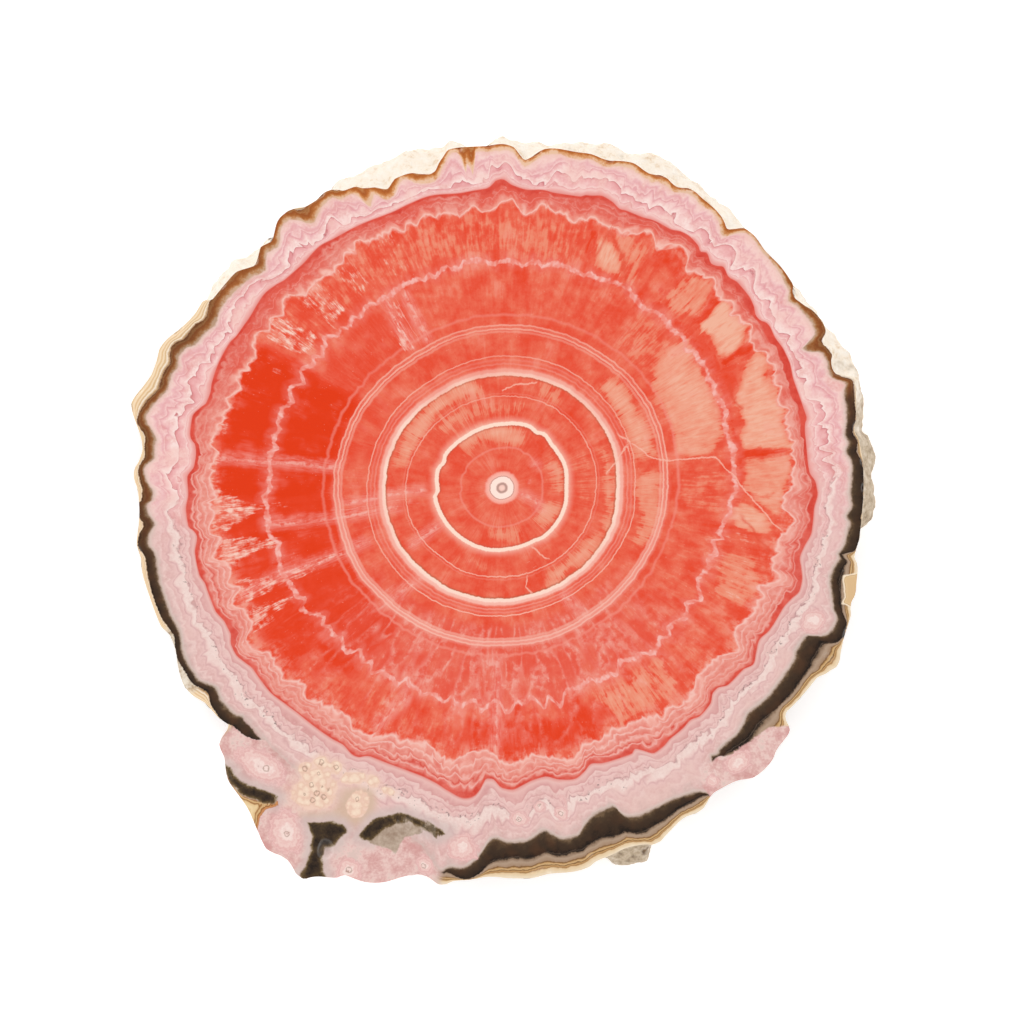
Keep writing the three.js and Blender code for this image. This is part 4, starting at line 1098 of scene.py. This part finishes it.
shaded_waves = ((rosy * -1.0).math("MAXIMUM", 0.0) * 0.45).mix(lit_waves, paint(220, 96, 82))
with_band = coral_cover.mix(with_sparkle, shaded_waves)
tooth = (folded + ragged * 0.12).rise(0.06, 0.17) * outer_growth.rise(36.7, 35.3) * coral_cover
with_teeth = (tooth * 0.5).mix(with_band, paint(243, 184, 170))
red_start = 38.0 - field("red_wide") * 1.1
red_depth = 0.74 + stronger * 1.2 + ragged * 0.9 + bundled * 0.7
red_line = (outer_growth - red_start).rise(0.0, 0.32) * red_depth
red = (mottle * 0.5 + clouds * 0.5).rise(0.3, 0.7).mix(paint(206, 56, 42), paint(224, 84, 68))
with_red_line = red_line.math("MINIMUM", 0.95).mix(with_teeth, red)

# %% [markdown]
# ### The pink band
# Outside the red line the stone is opaque pink, with the zigzags of its crystal tips: each starts as a
# dark hairline, is nearly white just outside it, and turns pinker up to the next. The lower side is
# greyer, and its main line is a string of white grains.

# %% Pink band
tip_groups = (drift + waver * 0.8 + cloudy * 0.8 + ragged * 0.35) * 2.0
pink_top, pink_cover = ring_table(pink_growth, 37.6, 43.6, [
    (37.9, 226, 120, 108, 0.0), (38.02, 230, 146, 138), (38.4, 237, 174, 168),
    (38.7, 242, 196, 190), (38.95, 238, 182, 179), (39.02, 226, 154, 154),
    (39.1, 247, 212, 206), (39.6, 240, 186, 184), (40.2, 232, 166, 166),
    (40.4, 222, 146, 148), (40.48, 196, 112, 116), (40.57, 250, 226, 220),
    (40.95, 246, 212, 206), (41.35, 240, 192, 190), (41.62, 226, 160, 164),
    (41.72, 243, 202, 198), (42.1, 232, 174, 176), (42.3, 236, 186, 186),
    (42.6, 244, 206, 200), (43.1, 243, 202, 194), (43.4, 238, 200, 190)])
pink_low, _ = ring_table(pink_growth, 37.6, 43.6, [
    (37.9, 216, 108, 98), (38.04, 226, 156, 148), (38.3, 232, 186, 179),
    (38.85, 216, 158, 155), (39.0, 236, 200, 193), (39.5, 230, 188, 183),
    (39.62, 214, 162, 160), (39.75, 234, 196, 190), (40.15, 226, 180, 176),
    (40.3, 190, 138, 138), (40.4, 234, 206, 199), (40.95, 238, 214, 206),
    (41.15, 232, 194, 188), (41.32, 208, 156, 157), (41.5, 230, 190, 185),
    (42.0, 224, 182, 177), (42.2, 234, 202, 195), (42.6, 224, 188, 182),
    (43.2, 208, 182, 174)])
greyed = (field("greyed") + waver * 0.3).rise(0.15, 0.85)
pinks = greyed.mix(pink_top, pink_low)
plain_pink = greyed.mix(paint(238, 185, 176), paint(223, 179, 171))
calm = (tip_groups * 0.8 + 0.2).rise(0.2, 0.8) * 0.65 * growth.rise(38.3, 39.2)
calmed = calm.mix(pinks, plain_pink)
clouded = (tip_groups * 0.9 + grit * 1.8 + mottled * 1.6 + ragged * 1.2 - 0.1) * growth.rise(38.2, 39.2)
whitened = (clouded.math("MAXIMUM", 0.0) * 0.42).math("MINIMUM", 0.7).mix(
    calmed, greyed.mix(paint(250, 223, 214), paint(236, 205, 196)))
darkened = ((clouded * -1.0).math("MAXIMUM", 0.0) * 0.45).math("MINIMUM", 0.6).mix(
    whitened, greyed.mix(paint(224, 148, 141), paint(204, 150, 143)))

# %% The beaded line: white grains with black specks, on the lower side and the left
bead_growth = growth + nibbles * 1.3 + tips * 3.0 + mottled * 1.0
bead_side = (field("greyed") + waver * 0.4).rise(0.3, 0.6)
grains = place.node("TexVoronoi", {"voronoi_dimensions": "2D"}, {"Vector": in_mm, "Scale": 1.7})
beads = bead_growth.line(40.66, 0.34).rise(0.05, 0.7) * (1.35 - grains * 1.1) * broken.rise(0.2, 0.5)
bead_cover = (beads * (0.62 + grit * 2.0)).math("MINIMUM", 0.75).math("MAXIMUM", 0.0)
bead_glow = bead_growth.line(40.8, 1.3).rise(0.0, 0.9) * 0.35
with_glow_line = (bead_glow * bead_side).mix(darkened, paint(238, 208, 200))
with_hairline = (bead_growth.line(40.2, 0.13) * bead_side * broken.rise(0.45, 0.6) * 0.6).mix(
    with_glow_line, paint(158, 116, 116))
with_bead = (bead_cover * bead_side).mix(with_hairline, paint(241, 217, 209))
speck_spots = noise(in_mm, 2.6, 1.0)
specks = speck_spots.rise(0.62, 0.7) * bead_growth.line(40.4, 0.7).rise(0.2, 0.5) * clouds.rise(0.46, 0.56)
with_specks = (specks * bead_side * 0.7).mix(with_bead, paint(124, 104, 100))

# %% [markdown]
# ### The lobe
# Each small growth is an oval with rings of its own: the oval's coordinate, roughened, goes through a
# ramp. The dark patches have a soft olive edge and a black heart.

# %% Lobe
lobe_ground = ramp([
    (0.0, 210, 156, 151), (0.25, 218, 171, 165), (0.5, 226, 186, 179),
    (0.75, 233, 200, 192), (1.0, 221, 193, 184)],
    (clouds * 0.7 + mottle * 0.4 + grit * 0.25).rise(0.36, 0.74))
on_lobe = field("lobe") * (growth + ragged * 1.6).rise(42.3, 43.6)
on_spur = (field("spur") + ragged * 0.5).rise(-0.15, 0.15)
pink_oval = field("pink_growth") + ragged * 0.95
oval_rings = ramp([
    (0.0, 188, 150, 140), (0.08, 236, 206, 198), (0.25, 244, 220, 212),
    (0.45, 233, 190, 183), (0.56, 238, 204, 196), (0.72, 225, 174, 169),
    (0.8, 234, 194, 188), (0.9, 220, 168, 165), (0.97, 226, 180, 175),
    (1.0, 229, 188, 182)], pink_oval / 1.2)
cream_oval = field("cream_growth") + ragged * 0.5
lumps = place.node("TexVoronoi", {"voronoi_dimensions": "2D", "feature": "SMOOTH_F1"},
                   {"Vector": in_mm, "Scale": 1.1, "Smoothness": 0.6})
cream_body = ramp([
    (0.0, 246, 222, 200), (0.35, 240, 210, 188), (0.55, 232, 194, 172),
    (0.8, 238, 204, 186)], lumps + grit * 0.4 + (cream_oval.rise(0.7, 1.1) * 0.4))
patch_depth = field("dark_patch") + ragged * 0.35
halo = cream_oval.rise(1.9, 1.1)
rock_grain = noise(in_mm, 0.9, 3.0, 0.7)
grainy = rock_grain - 0.5
olive = ramp([
    (0.0, 198, 178, 166), (0.2, 160, 140, 118), (0.34, 112, 90, 60),
    (0.55, 82, 64, 42), (0.8, 58, 44, 32), (1.0, 38, 28, 22)],
    (patch_depth + grit * 0.3).rise(-0.3, 0.5) * 0.7 + grainy * 1.1 + 0.12)
tan_layers = ramp([
    (0.0, 176, 104, 56), (0.12, 204, 144, 92), (0.2, 148, 88, 44),
    (0.3, 220, 184, 132), (0.42, 156, 104, 58), (0.5, 226, 192, 142),
    (0.75, 238, 212, 168), (1.0, 214, 176, 122)], (field("tan_patch") + ragged * 0.3) / 1.6)
pit_ring = field("ring_pit") + grit * 0.5
ring_mark = pit_ring.line(0.9, 0.3).rise(0.1, 0.8)


def add_lobe(under):
    """The growths and patches of the lobe, over a colour."""
    haloed = (halo * 0.4).mix(under, paint(236, 200, 182))
    pinks = pink_oval.rise(1.2, 1.0).mix(haloed, oval_rings)
    tans = ((field("beige_halo") + ragged * 0.8).rise(-0.5, 0.9) * 0.8).mix(pinks, paint(210, 180, 156))
    creams = cream_oval.rise(1.12, 0.95).mix(tans, cream_body)
    lilac_halo = (patch_depth.rise(-1.7, -0.3) * 0.75).mix(creams, paint(208, 188, 182))
    layered_tan = (field("tan_patch") + ragged * 0.3).rise(-0.05, 0.1).mix(lilac_halo, tan_layers)
    beige = (field("beige_patch") + ragged * 0.4).rise(-0.15, 0.1).mix(
        layered_tan, (mottle * 1.6 - 0.3).mix(paint(146, 120, 100), paint(204, 184, 166)))
    dark = patch_depth.rise(-0.28, 0.0).mix(beige, olive)
    return (ring_mark * 0.6).mix(dark, paint(164, 128, 110))


# %% [markdown]
# ### The rind
# From the pink outwards: a grey-lilac shade, the dark layer, thin brown and tan layers, and the crust.
# The dark layer ends at its own thickness, and what is left up to the edge is shared by the layers.

# %% Rind
rim_wave = ragged * 0.5
rim = field("rim") + rim_wave
to_edge = field("to_edge")
darkness = field("darkness")
past = field("past_dark") + rim_wave * 0.5 + grit * 0.25 - 0.55 + darkness * 0.5
layered = field("layered")
not_lobe = 1.0 - field("lobe")
lilac = rim.rise(-0.9, -0.05) * (1.0 - field("lobe") * growth.rise(42.6, 43.3))
lilac_tone = darkness.mix(paint(236, 196, 176), ramp([
    (0.0, 216, 178, 172), (0.5, 206, 178, 170), (0.78, 212, 194, 184),
    (0.93, 186, 164, 148), (1.0, 132, 108, 86)], rim.rise(-1.5, 0.12)))
lilac_here = lilac * (0.4 + darkness * 0.48)
with_lilac = lilac_here.mix(with_specks, lilac_tone)
within = (rim / (rim - past).math("MAXIMUM", 0.05)).math("MAXIMUM", 0.0)
dark_heart = ramp([
    (0.0, 108, 85, 62), (0.14, 80, 61, 43), (0.4, 64, 47, 34), (0.7, 58, 42, 30),
    (0.9, 46, 33, 24), (1.0, 34, 25, 19)], within + grainy * 1.0)
brown_heart = ramp([
    (0.0, 234, 192, 160), (0.16, 216, 152, 100), (0.34, 190, 112, 54),
    (0.62, 170, 88, 36), (0.8, 190, 128, 76), (1.0, 150, 88, 46)], within + grainy * 1.0)
rusted = (cloudy * 3.0 + 0.1).rise(0.0, 1.0) * 0.6
dark_layer = (darkness * 1.15 - 0.12 + cloudy * 0.4).mix(
    brown_heart, rusted.mix(dark_heart, paint(88, 56, 35)))
in_dark = (rim + (1.0 - darkness) * 0.3).rise(-0.14, 0.16) * past.rise(0.15, 0.0)
with_dark = in_dark.mix(with_lilac, dark_layer)
outward = (past / (past + to_edge.math("MAXIMUM", 0.05))).math("MAXIMUM", 0.0)
layer_tones = ramp([
    (0.0, 34, 25, 20), (0.06, 56, 43, 33), (0.12, 140, 114, 92),
    (0.24, 176, 150, 128), (0.4, 166, 136, 110), (0.46, 120, 82, 46),
    (0.51, 196, 154, 102), (0.57, 210, 174, 126), (0.61, 118, 80, 44),
    (0.67, 202, 160, 108), (0.72, 160, 114, 68), (0.77, 226, 196, 154),
    (1.0, 240, 222, 196)], outward + cloudy * 0.35 + mottled * 0.16)
gold_tones = ramp([
    (0.0, 110, 80, 50), (0.15, 200, 160, 116), (0.3, 248, 232, 210),
    (0.42, 214, 174, 124), (0.55, 246, 222, 190), (0.68, 226, 186, 136),
    (0.8, 248, 224, 192), (1.0, 232, 198, 152)], outward + cloudy * 0.35)
left_side = place.node("SeparateXYZ", {}, {0: heading}, out=0).rise(-0.5, -0.8)
layers = left_side.mix(layer_tones, gold_tones)
cream_crust = ramp([
    (0.0, 206, 166, 126), (0.22, 232, 204, 172), (0.45, 247, 232, 214),
    (1.0, 252, 244, 233)], rock_grain.rise(0.24, 0.72))
grey_crust = ramp([
    (0.0, 126, 106, 86), (0.3, 184, 164, 140), (0.6, 216, 200, 178),
    (1.0, 236, 224, 206)], rock_grain.rise(0.22, 0.78))
crust = field("greyness").mix(cream_crust, grey_crust)
outside = (layered + mottled * 0.3).rise(0.3, 0.6).mix(crust, layers)
past_dark = past.rise(0.0, 0.15) * rim.rise(-0.1, 0.12) * not_lobe
with_layers = past_dark.mix(with_dark, outside)
with_ground = (on_lobe * past.rise(0.0, 0.15)).math("MAXIMUM", on_spur).mix(with_layers, lobe_ground)
with_growths = add_lobe(with_ground)
box_in = field("pale_box") + ragged * 0.2
box_inside = ramp([
    (0.0, 247, 232, 210), (0.3, 240, 214, 180), (0.42, 178, 132, 84),
    (0.52, 226, 194, 148), (1.0, 220, 184, 138)], box_in.rise(-0.25, 0.35))
boxed = box_in.rise(-0.25, -0.1).mix(with_growths, box_inside)

# %% [markdown]
# ### Cracks
# A healed crack is a hair of pale spar; a red one is stained.

# %% Cracks
crack_wave = ragged * 0.55
crack = (field("crack") + crack_wave).line(0.0, 0.15) * field("crack_here")
red_crack = (field("red_crack") + crack_wave).line(0.0, 0.35) * field("red_crack_here")
with_red = (red_crack * 0.65).mix(with_red_line, paint(224, 78, 52))
cracked = (crack * 0.9).mix(with_red, paint(247, 184, 164))

# %% [markdown]
# ### Rind wall and sawn back
# Nobody polished these. The wall is crust, host rock or brown skin, darker in the dips of its fine bumps;
# the back has the face's rings under the grey haze of a saw cut.

# %% Wall and back
wall_spots = noise(in_mm, 0.3, 3.0, 0.7)
spotty = wall_spots - 0.5
white_rock = ramp([
    (0.22, 198, 160, 122), (0.34, 230, 204, 174), (0.46, 246, 232, 214),
    (0.75, 252, 245, 236)], rock_grain * 0.75 + wall_spots * 0.25)
grey_rock = ramp([
    (0.22, 112, 92, 70), (0.36, 162, 140, 114), (0.52, 196, 175, 148),
    (0.75, 224, 209, 190)], rock_grain)
grey_here = (field("grey_wall") + spotty * 1.6).rise(0.3, 0.8)
host_rock = grey_here.mix(white_rock, grey_rock)
skin = ramp([
    (0.2, 66, 50, 36), (0.42, 98, 74, 50), (0.6, 136, 104, 70),
    (0.8, 186, 154, 112)], rock_grain * 0.8 + wall_spots * 0.2)
on_lobe_wall = (field("lobe_wall") + spotty * 2.0).rise(0.35, 0.7)
lobe_skin = (on_lobe_wall * 0.85).mix(skin, lobe_ground)
on_host_rock = (field("covered") + spotty * 1.8).rise(0.15, 0.4)
wall_colour = on_host_rock.mix(lobe_skin, host_rock)
polished_here = field("polished").rise(0.4, 0.6)
sawn_here = field("sawn").rise(0.4, 0.6)
cut_face = (polished_here + sawn_here).math("MINIMUM", 1.0) * to_edge.rise(-0.12, 0.0)
haze, haze_colour = sawn_here * 0.28, paint(226, 196, 184)

# %% [markdown]
# ### Three surfaces
# Clear spar, the opaque stone outside it and the broken rind are three surfaces, joined where the first
# pink begins and at the sawn edges. A renderer then works out only the one it needs at a point. The
# first two are polished, the third is matt, and bumpy below the size of a triangle.


# %% Surfaces
def surface(colour, roughness, normal=None):
    """A surface of stone with a colour and a roughness."""
    made = place.node("BsdfPrincipled", {}, {"Base Color": colour, "Roughness": roughness, "IOR": 1.6})
    if normal:
        tree.links.new(normal.socket, made.socket.node.inputs["Normal"])
    return made


in_pit = field("pit").rise(0.02, 0.1)
polish = 0.18 + in_pit * 0.5 + sawn_here * 0.4
relief = noise(in_mm, 0.9, 3.0, 0.6)
bump = place.node("Bump", {}, {"Strength": 0.8, "Distance": 0.4 * MM, "Height": relief})
spar_surface = surface(haze.mix(cracked, haze_colour), polish)
pink_surface = surface(haze.mix(boxed, haze_colour), polish)
rind_surface = surface(wall_colour, 0.78, bump)
cut = place.node("MixShader", {}, {0: pink_cover, 1: spar_surface, 2: pink_surface})
whole = place.node("MixShader", {}, {0: cut_face, 1: rind_surface, 2: cut})
tree.links.new(whole.socket, output.inputs[0])
print(f"{len(tree.nodes)} nodes in the stone's material")

# %% The finished piece
slice_piece = bpy.data.objects.new("banded_slice", mesh)
bpy.context.scene.collection.objects.link(slice_piece)
mesh.materials.append(stone)
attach(slice_piece, "root")
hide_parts("slice")

# %% [markdown]
# ## Floor and light
# The photograph is lit from all sides, with no hard shadow and no highlight on the face. A bright world
# gives that. It is dimmer towards the horizon, so that a low view isn't hazy, and dark straight above,
# as a photographer's black card is. Two large soft lamps give the rind a little shape.

# %% Floor
FLOOR = 1.5
floor_mesh = bpy.data.meshes.new("floor")
floor_mesh.from_pydata([(-FLOOR, -FLOOR, 0), (FLOOR, -FLOOR, 0), (FLOOR, FLOOR, 0), (-FLOOR, FLOOR, 0)],
                       [], [(0, 1, 2, 3)])
floor = bpy.data.objects.new("floor", floor_mesh)
bpy.context.scene.collection.objects.link(floor)
white = bpy.data.materials.new("white_table")
white.use_nodes = True
table_surface = white.node_tree.nodes["Principled BSDF"]
table_surface.inputs["Base Color"].default_value = paint(240, 240, 240)
table_surface.inputs["Roughness"].default_value = 0.6
table_surface.inputs["Emission Color"].default_value = (1, 1, 1, 1)
table_surface.inputs["Emission Strength"].default_value = 0.45
floor_mesh.materials.append(white)

# %% World
world = bpy.data.worlds.new("studio")
bpy.context.scene.world = world
world.use_nodes = True
background = world.node_tree.nodes["Background"]
background.inputs["Color"].default_value = (1, 1, 1, 1)
direction = Wire(world.node_tree.nodes.new("ShaderNodeTexCoord").outputs["Generated"])
upwards = direction.node("SeparateXYZ", {}, {0: direction}, out=2)
BRIGHT, HORIZON, CARD = 1.09, 0.55, 0.12
dome = HORIZON + upwards.rise(0.0, 0.7) * (BRIGHT - HORIZON)
world_strength = upwards.rise(0.97, 0.9) * (dome - CARD) + CARD
world.node_tree.links.new(world_strength.socket, background.inputs["Strength"])


# %% Lamps
def softbox(name, place, aim, size, watts):
    """A square lamp at a place, turned towards an aim."""
    lamp = bpy.data.lights.new(name, "AREA")
    lamp.size, lamp.energy = size, watts
    holder = bpy.data.objects.new(name, lamp)
    bpy.context.scene.collection.objects.link(holder)
    holder.location = place
    across, along, down = np.array(aim, float) - np.array(place, float)
    tilt = np.arctan2(np.hypot(across, along), -down)
    holder.rotation_euler = (tilt, 0, np.arctan2(along, across) - np.pi / 2)
    return holder


softbox("key", (-0.45, 0.35, 0.7), (0, 0, 0), 0.5, 1.5)
softbox("fill", (0.55, -0.2, 0.6), (0, 0, 0), 0.5, 0.6)
